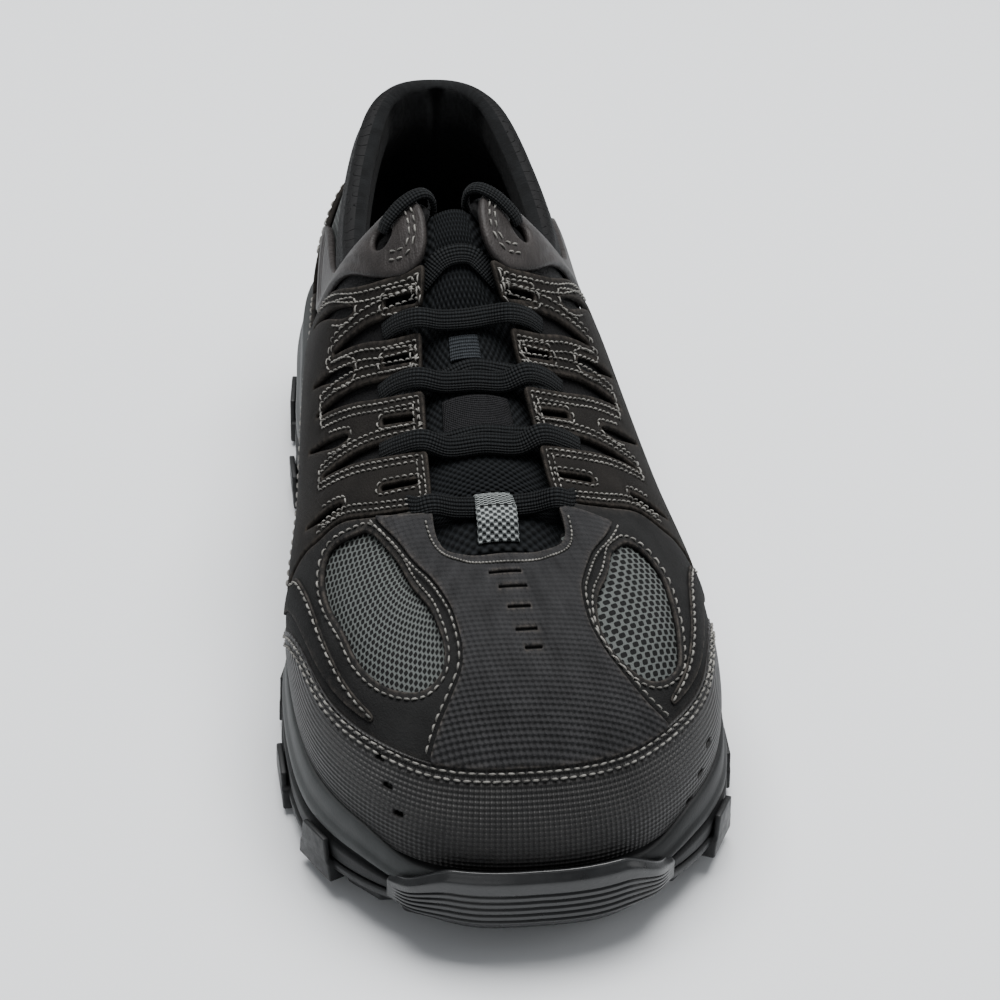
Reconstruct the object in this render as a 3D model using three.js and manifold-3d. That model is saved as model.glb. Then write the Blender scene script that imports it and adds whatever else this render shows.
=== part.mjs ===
// Left safety sneaker with a steel-cap toe box, as an assembly of separate pieces.
// Millimetres, +Z up. The toe points to -Y, the heel to +Y and the outer side of the foot to +X.
// The origin is on the ground, under the middle of the sole's outline.
import * as THREE from "three";
import { mergeVertices } from "three/addons/utils/BufferGeometryUtils.js";
import Module from "manifold-3d";

const wasm = await Module();
wasm.setup();

// Sizes of the last, from which every curved piece is worked out.
const LENGTH = 310;
const BALL_WIDTH = 122;
const INSTEP_HEIGHT = 126;
const COLLAR_HEIGHT = 105;
const SOLE_HEIGHT = 42;
const TOE_SPRING = 10;
const HEEL_BEVEL = 4;
const ARCH_LIFT = 4;
const ARCH_TUCK = 3.5;

// Thicknesses of the pieces and the clearance between them.
const GAP = 0.3;
const SEAT = 0.55;
const WALL = 2.6;
const COLLAR_PAD = 5;
const LASTING_MARGIN = 9;
const CAP_THICK = 1.9;
const VAMP_THICK = 1.4;
const EYESTAY_THICK = 1.8;
const GUARD_THICK = 1.5;
const COUNTER_THICK = 1.7;
const TONGUE_THICK = 4.6;
const TONGUE_CLEAR = 0.5;
const TONGUE_RISE = 7;
const INSOLE_THICK = 4.5;
const INSOLE_LIFT = 0.8;
const LABEL_THICK = 0.8;

// Widest openings between the eyestay's fingers, in them and below them.
const FINGER_GAP = 6;
const SLOT_WIDTH = 2.2;
const SLIT_WIDTH = 3.6;

// Sole.
const LUG_DEPTH = 4.5;
const OUTSOLE_THICK = 3.2;
const SOLE_FLARE = 9;
const LIP_HEIGHT = 3;
const RAND_THICK = 2.8;
const RAND_REACH = 1.15;
const RIB_DEPTH = 0.9;
const RIBS = 5;
const LUG_STATIONS = 12;
const TEETH = 8;
const TOOTH_THICK = 1.8;

// Laces.
const LACE_WIDTH = 6.5;
const LACE_THICK = 2.2;
const LACE_END_THICK = 3.4;
const KEEPER_TAB = 8;
const LACE_HOLE = 8;

// The last in sixteen sections round the foot: 0 is the toe, 1 to 7 the outer side, 8 the heel
// and 9 to 15 the inner side, back to the toe. along and topAlong are shares of LENGTH, out, topOut,
// lean and roll of BALL_WIDTH, up of SOLE_HEIGHT, topUp of INSTEP_HEIGHT or, round the ankle, of
// COLLAR_HEIGHT, and rise and drop of INSTEP_HEIGHT.
const COLUMNS = ["along", "out", "up", "topAlong", "topOut", "topUp", "lean", "rise", "roll", "drop"];
const LAST = [
  [-0.484,  0.008, 0.667, -0.239,  0.000, 0.579, 0.025, 0.206,  0.279, 0.040],
  [-0.455,  0.254, 0.643, -0.239,  0.082, 0.579, 0.033, 0.206,  0.270, 0.040],
  [-0.361,  0.426, 0.643, -0.223,  0.139, 0.595, 0.049, 0.206,  0.246, 0.040],
  [-0.219,  0.467, 0.690, -0.155,  0.107, 0.659, 0.057, 0.214,  0.221, 0.063],
  [-0.071,  0.418, 0.810, -0.039,  0.074, 0.770, 0.057, 0.222,  0.197, 0.111],
  [ 0.090,  0.361, 0.905,  0.100,  0.033, 0.992, 0.049, 0.238,  0.213, 0.143],
  [ 0.245,  0.344, 0.952,  0.206,  0.270, 0.838, 0.033, 0.175,  0.033, 0.127],
  [ 0.413,  0.295, 0.976,  0.429,  0.205, 0.952, 0.033, 0.190,  0.025, 0.175],
  [ 0.481,  0.025, 1.000,  0.471,  0.025, 1.000, 0.049, 0.206, -0.025, 0.206],
  [ 0.413, -0.254, 0.976,  0.429, -0.164, 0.971, 0.033, 0.190,  0.025, 0.175],
  [ 0.245, -0.328, 0.952,  0.200, -0.270, 0.838, 0.041, 0.175,  0.033, 0.127],
  [ 0.097, -0.361, 0.905,  0.100, -0.098, 0.984, 0.066, 0.238,  0.213, 0.143],
  [-0.052, -0.402, 0.810, -0.039, -0.115, 0.770, 0.074, 0.222,  0.197, 0.111],
  [-0.200, -0.459, 0.690, -0.155, -0.131, 0.659, 0.057, 0.214,  0.221, 0.063],
  [-0.355, -0.418, 0.643, -0.223, -0.139, 0.595, 0.049, 0.206,  0.246, 0.040],
  [-0.455, -0.246, 0.643, -0.239, -0.082, 0.579, 0.033, 0.206,  0.270, 0.040],
];
const SECTIONS = LAST.length;
const HEEL = SECTIONS / 2;
const ANKLE = 6;

// How far the sole stands out from the feather line, from the toe to the heel, as shares of SOLE_FLARE.
const FLARE = [0.45, 0.55, 0.67, 0.55, 0.55, 0.67, 0.89, 1, 0.89];

// Edges of the overlays, as pairs of section number and share of the way up the wall.
const CAP_LINE = [
  [0, 0.345], [0.8, 0.345], [1.65, 0.35], [2.4, 0.33], [2.8, 0.25], [3.1, 0.12], [3.3, 0.06],
];
const FRONT_LINE = [
  [0.05, 3.22], [0.4, 3.2], [0.5, 3.15], [0.63, 3.1], [0.77, 2.9], [0.92, 2.69], [1, 2.63],
];
const BACK_LINE = [[0.25, 5.7], [0.5, 5.3], [0.7, 4.8], [0.88, 4.6], [1, 4.56]];
const COLLAR_LINE = [[0.5, 6.7], [0.7, 6.45], [0.85, 6.15], [0.93, 5.9], [1, 5.62]];
const GUARD_FRONT = 3.34;
const GUARD_BACK = 6.5;
const GUARD_TOP = 0.23;
const EYESTAY_BOTTOM = 0.255;
const COUNTER_FRONT = 6.6;
const COUNTER_LINE = [[0, 0.64], [0.5, 0.6], [0.8, 0.5], [1, 0.36]];
const THROAT_BACK = 0.13;
const COVER_FOOT = 0.055;

// A section's rough share of the length, and the rough height of the wall along its curve.
const SECTION_PITCH = 0.129 * LENGTH;
const WALL_HEIGHT = 0.8 * INSTEP_HEIGHT;

// Openings of the eyestay, along their middle: section, share of the way up and share of their width.
const FINGER_GAPS = [
  [[4.53, 0.58, 0.1], [4.43, 0.74, 0.57], [4.34, 0.86, 0.83], [4.22, 1.08, 0.93]],
  [[4.29, 0.46, 0.1], [4.13, 0.68, 0.63], [3.99, 0.83, 0.93], [3.78, 1.08, 1.07]],
  [[3.71, 0.51, 0.1], [3.59, 0.7, 0.63], [3.46, 0.84, 0.93], [3.22, 1.08, 1.07]],
];
const FINGER_SLOTS = [
  [[4.5, 0.83, 1], [4.4, 0.96, 1]],
  [[4.18, 0.82, 1], [4.08, 0.95, 1]],
  [[3.74, 0.81, 1], [3.6, 0.945, 1]],
  [[3.13, 0.8, 1], [2.98, 0.94, 1]],
];
const SIDE_SLITS = [
  [[4.64, 0.7, 0.5], [4.76, 0.62, 1], [5.12, 0.45, 0.17]],
  [[4.28, 0.69, 0.5], [4.35, 0.62, 1], [4.54, 0.44, 0.17]],
  [[3.84, 0.66, 0.5], [3.91, 0.58, 1], [4.12, 0.4, 0.17]],
  [[3.25, 0.64, 0.5], [3.29, 0.57, 1], [3.4, 0.42, 0.17]],
];

// The mesh windows of the vamp: section, share of the way up, and half height as such a share.
const WINDOW_IN = [
  [2.86, 0.66, 0.06], [2.6, 0.66, 0.15], [2.15, 0.67, 0.16],
  [1.6, 0.66, 0.15], [1.25, 0.63, 0.11], [0.98, 0.63, 0.05],
];
const WINDOW_OUT = [
  [2.65, 0.67, 0.05], [2.5, 0.66, 0.12], [2.1, 0.655, 0.155],
  [1.65, 0.62, 0.15], [1.35, 0.61, 0.1], [1.18, 0.64, 0.04],
];

// Rows where the lace crosses the throat, by section number.
const LACE_BARS = [2.62, 3.27, 3.85, 4.25, 4.6];
const LACE_RUN = 0.945;
// The lowest bar dips this far forward between its ends, in sections.
const LACE_DIP = 0.27;

const vec = (x, y, z) => new THREE.Vector3(x, y, z);
const mix = THREE.MathUtils.lerp;
const smooth = (low, high, x) => THREE.MathUtils.smoothstep(x, low, high);

// Reads a table of [x, y] pairs, straight between them.
function read(table, x) {
  const next = table.findIndex(([at]) => at >= x);
  if (next === 0) return table[0][1];
  if (next < 0) return table[table.length - 1][1];
  const [a, b] = [table[next - 1], table[next]];
  return mix(a[1], b[1], (x - a[0]) / (b[0] - a[0]));
}

// Distance from the toe section, 0 to 8, on either side.
function rowOf(row) {
  const turn = ((row % SECTIONS) + SECTIONS) % SECTIONS;
  return turn <= HEEL ? turn : SECTIONS - turn;
}

// The four control points of each section's curve: feather line, side, shoulder and top line.
function sectionPoints(cells, index) {
  const s = Object.fromEntries(COLUMNS.map((name, k) => [name, cells[k]]));
  const before = LAST[(index + SECTIONS - 1) % SECTIONS];
  const after = LAST[(index + 1) % SECTIONS];
  const topSize = rowOf(index) >= ANKLE ? COLLAR_HEIGHT : INSTEP_HEIGHT;
  const base = vec(s.out * BALL_WIDTH, s.along * LENGTH, s.up * SOLE_HEIGHT);
  const top = vec(s.topOut * BALL_WIDTH, s.topAlong * LENGTH, s.topUp * topSize);
  const away = vec((after[0] - before[0]) * LENGTH, (before[1] - after[1]) * BALL_WIDTH, 0).normalize();
  const down = vec(base.x - top.x, base.y - top.y, 0).normalize();
  const side = base.clone().addScaledVector(away, s.lean * BALL_WIDTH);
  side.z += s.rise * INSTEP_HEIGHT;
  const shoulder = top.clone().addScaledVector(down, s.roll * BALL_WIDTH);
  shoulder.z -= s.drop * INSTEP_HEIGHT;
  return [base, side, shoulder, top];
}

const lastPoints = LAST.map(sectionPoints);
const rails = [0, 1, 2, 3].map(
  (k) => new THREE.CatmullRomCurve3(lastPoints.map((points) => points[k]), true, "catmullrom", 0.5),
);

// A point of the last: row counts sections, up goes from the feather line, 0, to the top line, 1.
function skin(row, up) {
  const turn = (((row / SECTIONS) % 1) + 1) % 1;
  const w = 1 - up;
  const share = [w * w * w, 3 * w * w * up, 3 * w * up * up, up * up * up];
  const point = vec(0, 0, 0);
  rails.forEach((rail, k) => point.addScaledVector(rail.getPoint(turn), share[k]));
  return point;
}

const PROBE = 1e-3;
function skinNormal(row, up) {
  const along = skin(row + PROBE, up).sub(skin(row - PROBE, up));
  const rise = skin(row, up + PROBE).sub(skin(row, up - PROBE));
  return along.cross(rise).normalize();
}

// A point at a distance from the last's surface, outwards when positive.
function over(row, up, offset) {
  return skin(row, up).addScaledVector(skinNormal(row, up), offset);
}

// Turns points and triangles into a solid with its faces outwards.
function solid(points, faces) {
  const flat = points.flatMap((p) => [p.x, p.y, p.z]);
  const geometry = new THREE.BufferGeometry();
  geometry.setAttribute("position", new THREE.Float32BufferAttribute(flat, 3));
  geometry.setIndex(faces.flat());
  return solidOf(geometry);
}

function solidOf(geometry) {
  geometry.deleteAttribute("normal");
  geometry.deleteAttribute("uv");
  const merged = mergeVertices(geometry, 1e-4);
  const triVerts = new Uint32Array(merged.index.array);
  const vertProperties = merged.attributes.position.array;
  const make = () => new wasm.Manifold(new wasm.Mesh({ numProp: 3, vertProperties, triVerts }));
  const made = make();
  if (made.volume() > 0) return made;
  for (let i = 0; i < triVerts.length; i += 3) {
    [triVerts[i + 1], triVerts[i + 2]] = [triVerts[i + 2], triVerts[i + 1]];
  }
  return make();
}

function geometryOf(made) {
  const mesh = made.getMesh();
  const geometry = new THREE.BufferGeometry();
  geometry.setAttribute("position", new THREE.BufferAttribute(mesh.vertProperties, 3));
  geometry.setIndex(new THREE.BufferAttribute(mesh.triVerts, 1));
  geometry.computeVertexNormals();
  return geometry;
}

// Triangles between the rings, each a list of the same number of points, joined in turn.
function bandFaces(ringCount, size, closeRings, closeSides = true) {
  const faces = [];
  const bands = closeRings ? ringCount : ringCount - 1;
  const sides = closeSides ? size : size - 1;
  for (let r = 0; r < bands; r++) {
    for (let k = 0; k < sides; k++) {
      const a = r * size + k;
      const b = r * size + ((k + 1) % size);
      const c = ((r + 1) % ringCount) * size + ((k + 1) % size);
      const d = ((r + 1) % ringCount) * size + k;
      faces.push([a, b, c], [a, c, d]);
    }
  }
  return faces;
}

// Closes a ring that runs round the foot with rungs from side to side.
function rungFaces(first, size, flip) {
  const faces = [];
  const at = (k) => first + (k % size);
  for (let k = 0; k < size / 2; k++) {
    const quad = [at(k), at(k + 1), at(size - k - 1), at(size - k)];
    if (k > 0) faces.push([quad[0], quad[2], quad[3]]);
    if (k < size / 2 - 1) faces.push([quad[0], quad[1], quad[2]]);
  }
  return flip ? faces.map(([a, b, c]) => [a, c, b]) : faces;
}

// A solid of stacked rings round the foot, closed at its first and last ring.
function stack(rings) {
  const size = rings[0].length;
  const faces = bandFaces(rings.length, size, false);
  faces.push(...rungFaces(0, size, true), ...rungFaces((rings.length - 1) * size, size, false));
  return solid(rings.flat(), faces);
}

// A solid sheet between two surfaces of s and t, each from 0 to 1.
function sheet(outer, inner, across, along) {
  const points = [];
  [outer, inner].forEach((surface) => {
    for (let i = 0; i <= across; i++) {
      for (let j = 0; j <= along; j++) points.push(surface(i / across, j / along));
    }
  });
  const size = along + 1;
  const half = size * (across + 1);
  const top = bandFaces(across + 1, size, false, false);
  const faces = [...top, ...top.map(([a, b, c]) => [half + a, half + c, half + b])];
  const edge = [];
  for (let j = 0; j < along; j++) edge.push(j);
  for (let i = 0; i < across; i++) edge.push(i * size + along);
  for (let j = along; j > 0; j--) edge.push(across * size + j);
  for (let i = across; i > 0; i--) edge.push(i * size);
  edge.forEach((a, k) => {
    const b = edge[(k + 1) % edge.length];
    faces.push([b, a, half + a], [b, half + a, half + b]);
  });
  return solid(points, faces);
}

// An overlay on the last: place gives section and share up for s and t.
function overlay(place, thick, across, along, lift = SEAT) {
  const outer = (s, t) => over(...place(s, t), lift + thick);
  const inner = (s, t) => over(...place(s, t), lift);
  return sheet(outer, inner, across, along);
}

// Cuts an overlay's seam with its neighbour: the neighbour's outline, deep enough to cut right through.
function knife(place, across, along) {
  const outer = (s, t) => over(...place(s, t), PUNCH_REACH);
  return sheet(outer, (s, t) => over(...place(s, t), -PUNCH_REACH / 2), across, along);
}

// A cutter through the overlay, whose outline runs up one side of a spine and down the other.
function slit(spine, side, width) {
  const half = width / 2 / SECTION_PITCH;
  const left = spine.map(([row, up, share]) => [row - share * half, up]);
  const right = spine.map(([row, up, share]) => [row + share * half, up]).reverse();
  return punch([...left, ...right], side);
}

// A cutter with a window's outline: its spine runs along the foot, so its width is up and down.
function windowCut(spine, side) {
  const left = spine.map(([row, up, half]) => [row, up + half]);
  const right = spine.map(([row, up, half]) => [row, up - half]).reverse();
  return punch([...left, ...right], side);
}

// A cutter through an overlay with the given outline of sections and shares of the way up.
const PUNCH_REACH = 5;
function punch(outline, side) {
  const flatten = ([row, up]) => new THREE.Vector2(row * SECTION_PITCH, up * WALL_HEIGHT);
  if (THREE.ShapeUtils.isClockWise(outline.map(flatten))) outline.reverse();
  const flat = outline.map(flatten);
  const cap = THREE.ShapeUtils.triangulateShape(flat, []);
  const size = outline.length;
  const points = [-PUNCH_REACH / 2, PUNCH_REACH].flatMap((offset) =>
    outline.map(([row, up]) => over(side * row, up, offset)),
  );
  const faces = bandFaces(2, size, false);
  faces.push(...cap.map(([a, b, c]) => [a, c, b]));
  faces.push(...cap.map(([a, b, c]) => [size + a, size + b, size + c]));
  return solid(points, faces);
}

const cutAll = (made, cutters) => cutters.reduce((rest, cutter) => rest.subtract(cutter), made);
const joinAll = (pieces) => pieces.reduce((sum, piece) => sum.add(piece));

// A flat band swept along points with their normals, with a six-sided section.
function band(points, normals, width, thick) {
  const rings = points.map((point, k) => {
    const ahead = points[Math.min(k + 1, points.length - 1)].clone();
    const run = ahead.sub(points[Math.max(k - 1, 0)]).normalize();
    const wide = run.clone().cross(normals[k]).normalize();
    const high = wide.clone().cross(run).normalize();
    const corner = [[-1, 0], [-0.7, 1], [0.7, 1], [1, 0], [0.7, -1], [-0.7, -1]];
    return corner.map(([a, b]) =>
      point.clone().addScaledVector(wide, (a * width) / 2).addScaledVector(high, (b * thick) / 2),
    );
  });
  const size = rings[0].length;
  const last = (rings.length - 1) * size;
  const faces = bandFaces(rings.length, size, false);
  for (let k = 1; k < size - 1; k++) faces.push([0, k + 1, k], [last, last + k, last + k + 1]);
  return solid(rings.flat(), faces);
}

// Upper.
const WALL_COLUMNS = 64;
const WALL_STEPS = 8;
const LINING_STEPS = 3;

// Top of the wall: it stops short of the throat, so that the eyestay's fingers stand free.
function wallTop(row) {
  const r = rowOf(row);
  return 1 - THROAT_BACK * (smooth(2, 2.5, r) - smooth(4.66, 4.95, r));
}

// The wall swells into a padded rim round the ankle.
function wallThick(row, up) {
  const ankle = smooth(5.2, 6.2, rowOf(row));
  return WALL + COLLAR_PAD * ankle * smooth(0.45, 0.85, up);
}

function wallSection(row, grow) {
  const top = wallTop(row);
  const points = [];
  for (let k = 0; k <= WALL_STEPS; k++) points.push(over(row, (top * k) / WALL_STEPS, grow));
  const thick = wallThick(row, top);
  const reach = (0.3 * thick) / WALL_HEIGHT;
  points.push(over(row, top + reach, -0.25 * thick), over(row, top + reach, -0.75 * thick));
  for (let k = LINING_STEPS; k > 0; k--) {
    const up = (top * k) / LINING_STEPS;
    points.push(over(row, up, -wallThick(row, up) - grow));
  }
  const foot = skin(row, 0);
  const inward = outward(row).multiplyScalar(-1);
  const turn = foot.clone().addScaledVector(inward, WALL);
  const edge = foot.clone().addScaledVector(inward, LASTING_MARGIN);
  points.push(turn.setZ(foot.z + WALL), edge.clone().setZ(foot.z + WALL), edge);
  return points;
}

// The direction out of the foot at the feather line, level.
function outward(row) {
  const along = skin(row + PROBE, 0).sub(skin(row - PROBE, 0));
  return vec(along.y, -along.x, 0).normalize();
}

// The wall, or with grow the room it needs, by which its neighbours are trimmed.
function makeUpper(grow = 0) {
  const rings = [];
  for (let k = 0; k < WALL_COLUMNS; k++) rings.push(wallSection((k * SECTIONS) / WALL_COLUMNS, grow));
  return solid(rings.flat(), bandFaces(rings.length, rings[0].length, true));
}

const wallRoom = makeUpper(GAP / 4);

// Overlays of the upper.
const SEAM = GAP / WALL_HEIGHT;
const ROW_SEAM = GAP / SECTION_PITCH;
const CAP_END = CAP_LINE[CAP_LINE.length - 1][0];

function capPlace(s, t, margin = 0) {
  const row = mix(-CAP_END, CAP_END, s);
  return [row, mix(COVER_FOOT, read(CAP_LINE, rowOf(row)) + margin, t)];
}

const CAP_GRID = [22, 3];
const makeToeCap = () => overlay(capPlace, CAP_THICK, ...CAP_GRID);

// The vamp's grid starts a little inside the toe cap, which then cuts it back to the seam.
function vampPlace(s, t) {
  let up = mix(0.35, 1, t);
  let row = 0;
  for (let round = 0; round < 4; round++) {
    row = mix(-1, 1, s) * (read(FRONT_LINE, up) - ROW_SEAM);
    up = mix(Math.max(COVER_FOOT, read(CAP_LINE, rowOf(row)) - 0.02), 1, t);
  }
  return [row, up];
}

function makeVamp() {
  const cap = knife((s, t) => capPlace(s, t, 2 * SEAM), ...CAP_GRID);
  const cuts = [windowCut(WINDOW_OUT, 1), windowCut(WINDOW_IN, -1), cap];
  return cutAll(overlay(vampPlace, VAMP_THICK, 18, 7), cuts);
}

function eyestayPlace(side, margin = 0) {
  return (s, t) => {
    const up = mix(EYESTAY_BOTTOM, 1 + margin, t);
    return [side * mix(read(FRONT_LINE, up) + ROW_SEAM, read(BACK_LINE, up) + margin, s), up];
  };
}

function makeEyestay(side) {
  const openings = [[FINGER_GAPS, FINGER_GAP], [FINGER_SLOTS, SLOT_WIDTH], [SIDE_SLITS, SLIT_WIDTH]];
  const cuts = openings.flatMap(([spines, width]) => spines.map((spine) => slit(spine, side, width)));
  return cutAll(overlay(eyestayPlace(side), EYESTAY_THICK, 10, 6), cuts);
}

// The hole for the lace's end in the top eyestay.
const HOLE_AT = [4.93, 0.85];
function holeCut(side) {
  const outline = [];
  for (let k = 0; k < 10; k++) {
    const angle = (k / 10) * 2 * Math.PI;
    const half = LACE_HOLE / 2;
    const row = HOLE_AT[0] + (half * Math.cos(angle)) / SECTION_PITCH;
    outline.push([row, HOLE_AT[1] + (half * Math.sin(angle)) / WALL_HEIGHT]);
  }
  return punch(outline, side);
}

function makeTopEyestay(side) {
  const place = (s, t) => {
    const up = mix(COLLAR_LINE[0][0], 1, t);
    return [side * mix(read(BACK_LINE, up), read(COLLAR_LINE, up), s), up];
  };
  const seam = knife(eyestayPlace(side, 1.5 * ROW_SEAM), 10, 6);
  return cutAll(overlay(place, EYESTAY_THICK, 11, 5), [holeCut(side), seam]);
}

function makeGuard(side) {
  const place = (s, t) => [side * mix(GUARD_FRONT, GUARD_BACK, s), mix(COVER_FOOT, GUARD_TOP, t)];
  return overlay(place, GUARD_THICK, 12, 2);
}

function makeCounter() {
  const place = (s, t) => {
    const turn = mix(-1, 1, s);
    const row = HEEL + turn * (HEEL - COUNTER_FRONT);
    return [row, mix(COVER_FOOT, read(COUNTER_LINE, Math.abs(turn)), t)];
  };
  return overlay(place, COUNTER_THICK, 12, 4);
}

// Tongue. Its top follows the inside of the wall and bridges the throat from edge to edge.
const TONGUE_FRONT = 2.3;
const TONGUE_BACK = 4.72;
const TONGUE_SIDE = 0.84;
const BRIDGE = 0.5;

function bridge(row, share) {
  const depth = WALL + TONGUE_CLEAR;
  const edge = (r, up) => over(r, up, -depth);
  const ends = [edge(-row, 1), edge(row, 1)];
  const spread = ends[0].distanceTo(ends[1]);
  const tangents = [-row, row].map((r) => edge(r, 1).sub(edge(r, 1 - PROBE)).setLength(spread));
  const t = share;
  const point = vec(0, 0, 0);
  point.addScaledVector(ends[0], 2 * t * t * t - 3 * t * t + 1);
  point.addScaledVector(tangents[0], t * t * t - 2 * t * t + t);
  point.addScaledVector(ends[1], 3 * t * t - 2 * t * t * t);
  point.addScaledVector(tangents[1], t * t - t * t * t);
  return point;
}

// across goes from the inner edge, -1, to the outer edge, 1.
function tongueTop(row, across) {
  if (row < TONGUE_FRONT) {
    const ahead = (TONGUE_FRONT - row) * SECTION_PITCH;
    return tongueTop(TONGUE_FRONT, across).add(vec(0, -ahead, -0.42 * ahead));
  }
  if (row > TONGUE_BACK) {
    const step = tongueTop(TONGUE_BACK, across).sub(tongueTop(TONGUE_BACK - 0.1, across));
    const beyond = (row - TONGUE_BACK) / 0.1;
    const sag = vec(0, 0.5 * beyond, -0.9 * beyond);
    return tongueTop(TONGUE_BACK, across).addScaledVector(step, beyond).add(sag);
  }
  const side = Math.abs(across);
  if (side <= BRIDGE) return bridge(row, (across / BRIDGE + 1) / 2);
  const up = mix(1, TONGUE_SIDE, (side - BRIDGE) / (1 - BRIDGE));
  return over(Math.sign(across) * row, up, -WALL - TONGUE_CLEAR);
}

function tongueNormal(row, across) {
  const wide = tongueTop(row, across + PROBE).sub(tongueTop(row, across - PROBE));
  const along = tongueTop(row + PROBE, across).sub(tongueTop(row - PROBE, across));
  return wide.cross(along).normalize();
}

const onTongue = (row, across, lift) =>
  tongueTop(row, across).addScaledVector(tongueNormal(row, across), lift);

function makeTongue() {
  const last = TONGUE_BACK + TONGUE_RISE / SECTION_PITCH;
  const place = (s, t) => [mix(TONGUE_FRONT - 0.3, last, s), mix(-0.96, 0.96, t)];
  const inner = (s, t) => {
    const edge = 1 - Math.abs(2 * t - 1) ** 6;
    return onTongue(...place(s, t), -mix(0.45, 1, edge) * TONGUE_THICK);
  };
  return sheet((s, t) => onTongue(...place(s, t), 0), inner, 10, 12);
}

function makeLabel() {
  const place = (s, t) => [mix(3.4, 3.7, s), mix(-0.4, 0.4, t)];
  const outer = (s, t) => onTongue(...place(s, t), GAP + LABEL_THICK);
  return sheet(outer, (s, t) => onTongue(...place(s, t), GAP), 3, 6);
}

// The strap that holds the lowest lace bar, sewn down before and behind it.
function makeKeeper() {
  const half = (LACE_WIDTH / 2 + KEEPER_TAB) / SECTION_PITCH;
  const place = (s, t) => [LACE_BARS[0] - LACE_DIP + mix(-half, half, s), mix(-0.145, 0.145, t)];
  const lift = (s) => GAP + (LACE_THICK + 2 * GAP) * smooth(0, 0.25, Math.min(s, 1 - s));
  const outer = (s, t) => onTongue(...place(s, t), lift(s) + LABEL_THICK);
  return sheet(outer, (s, t) => onTongue(...place(s, t), lift(s)), 10, 2);
}

// Laces: bars across the throat, joined by runs under the fingers.
function laceBand(route) {
  const lift = 2 * GAP + LACE_THICK / 2;
  const points = route.map(([row, across]) => onTongue(row, across, lift));
  return band(points, route.map(([row, across]) => tongueNormal(row, across)), LACE_WIDTH, LACE_THICK);
}

function makeLace() {
  const edge = BRIDGE + ((1 - LACE_RUN) / (1 - TONGUE_SIDE)) * (1 - BRIDGE);
  const steps = [-1, -0.6, -0.2, 0.2, 0.6, 1];
  const bars = LACE_BARS.map((row, bar) => {
    const dip = bar === 0 ? LACE_DIP : 0;
    return laceBand(steps.map((share) => [row - dip * (1 - share * share), share * edge]));
  });
  const first = LACE_BARS[0];
  const last = LACE_BARS[LACE_BARS.length - 1];
  const rows = [0, 0.25, 0.5, 0.75, 1].map((t) => mix(first, last, t));
  const runs = [-edge, edge].map((across) => laceBand(rows.map((row) => [row, across])));
  return joinAll([...bars, ...runs]);
}

// A lace end comes up inside the wall, goes over its rim and into the hole.
const LACE_END = [
  [5.25, 0.8, -7.6], [5.2, 0.86, -7.4], [5.16, 0.92, -7], [5.12, 0.98, -6.2],
  [5.1, 1.02, -4.8], [5.08, 1.04, -2.2], [5.06, 1.042, 0.8], [5.03, 1.02, 3.4],
  [5, 0.97, 4.7], [4.97, 0.92, 4.7], [4.945, 0.885, 4.3], [4.935, 0.865, 3.2],
];
function makeLaceEnd(side) {
  const curve = new THREE.CatmullRomCurve3(LACE_END.map(([row, up, lift]) => over(side * row, up, lift)));
  const half = LACE_END_THICK / 2;
  const outline = new THREE.Shape();
  for (let k = 0; k < 8; k++) {
    const angle = (k / 8) * 2 * Math.PI;
    if (k === 0) outline.moveTo(half, 0);
    else outline.lineTo(half * Math.cos(angle), half * Math.sin(angle));
  }
  outline.closePath();
  return solidOf(new THREE.ExtrudeGeometry(outline, { steps: 11, extrudePath: curve, curveSegments: 1 }));
}

// Sole.
const RING = 44;
const ringRows = Array.from({ length: RING }, (_, k) => (k * SECTIONS) / RING);

function flareAt(row) {
  const r = rowOf(row);
  const k = Math.min(Math.floor(r), HEEL - 1);
  // The inner side is drawn in under the arch.
  const inner = ((row % SECTIONS) + SECTIONS) % SECTIONS > HEEL;
  const tuck = inner ? ARCH_TUCK * smooth(2.9, 3.9, r) * (1 - smooth(4.9, 5.9, r)) : 0;
  return SOLE_FLARE * mix(FLARE[k], FLARE[k + 1], r - k) - tuck;
}

// Height of the tread above the floor, by the place along the foot: flat at the ball and the heel.
function ground(y) {
  const toe = Math.max(0, (-0.255 * LENGTH - y) / (0.245 * LENGTH));
  const heel = Math.max(0, (y - 0.42 * LENGTH) / (0.1 * LENGTH));
  const arch = smooth(-0.02 * LENGTH, 0.06 * LENGTH, y) * (1 - smooth(0.1 * LENGTH, 0.18 * LENGTH, y));
  return TOE_SPRING * toe ** 2 + HEEL_BEVEL * Math.min(heel, 1) ** 2 + ARCH_LIFT * arch;
}

const deck = (y) => ground(y) + LUG_DEPTH + OUTSOLE_THICK;

// A point of the sole's side: up goes from the outsole's deck, 0, to the feather line, 1.
function sidePoint(row, up, out) {
  const foot = skin(row, 0);
  const point = foot.clone().addScaledVector(outward(row), out);
  point.z = mix(deck(point.y) + GAP, foot.z, up);
  return point;
}

// The midsole's side in steps: share of the height, share of the flare, and mm added to them.
const SIDE_STEPS = [
  [0, 0.86, 0, 0], [0.08, 1, 0, 0], [0.36, 1.04, 0, 0], [0.42, 0.8, 0, -0.4], [0.5, 0.8, 0, -0.4],
  [0.56, 1, 0, 0], [0.72, 0.98, 0, 0], [0.78, 0.84, 0, 0], [1, 0.7, LIP_HEIGHT, 0],
];

function makeMidsole() {
  const rings = SIDE_STEPS.map(([up, share, lift, out]) =>
    ringRows.map((row) => sidePoint(row, up, flareAt(row) * share + out).add(vec(0, 0, lift))),
  );
  rings.push(ringRows.map((row) => sidePoint(row, 1, 1.5).add(vec(0, 0, LIP_HEIGHT))));
  rings.push(ringRows.map((row) => sidePoint(row, 1, 2 * GAP).add(vec(0, 0, -2 * GAP))));
  return stack(rings);
}

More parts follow.
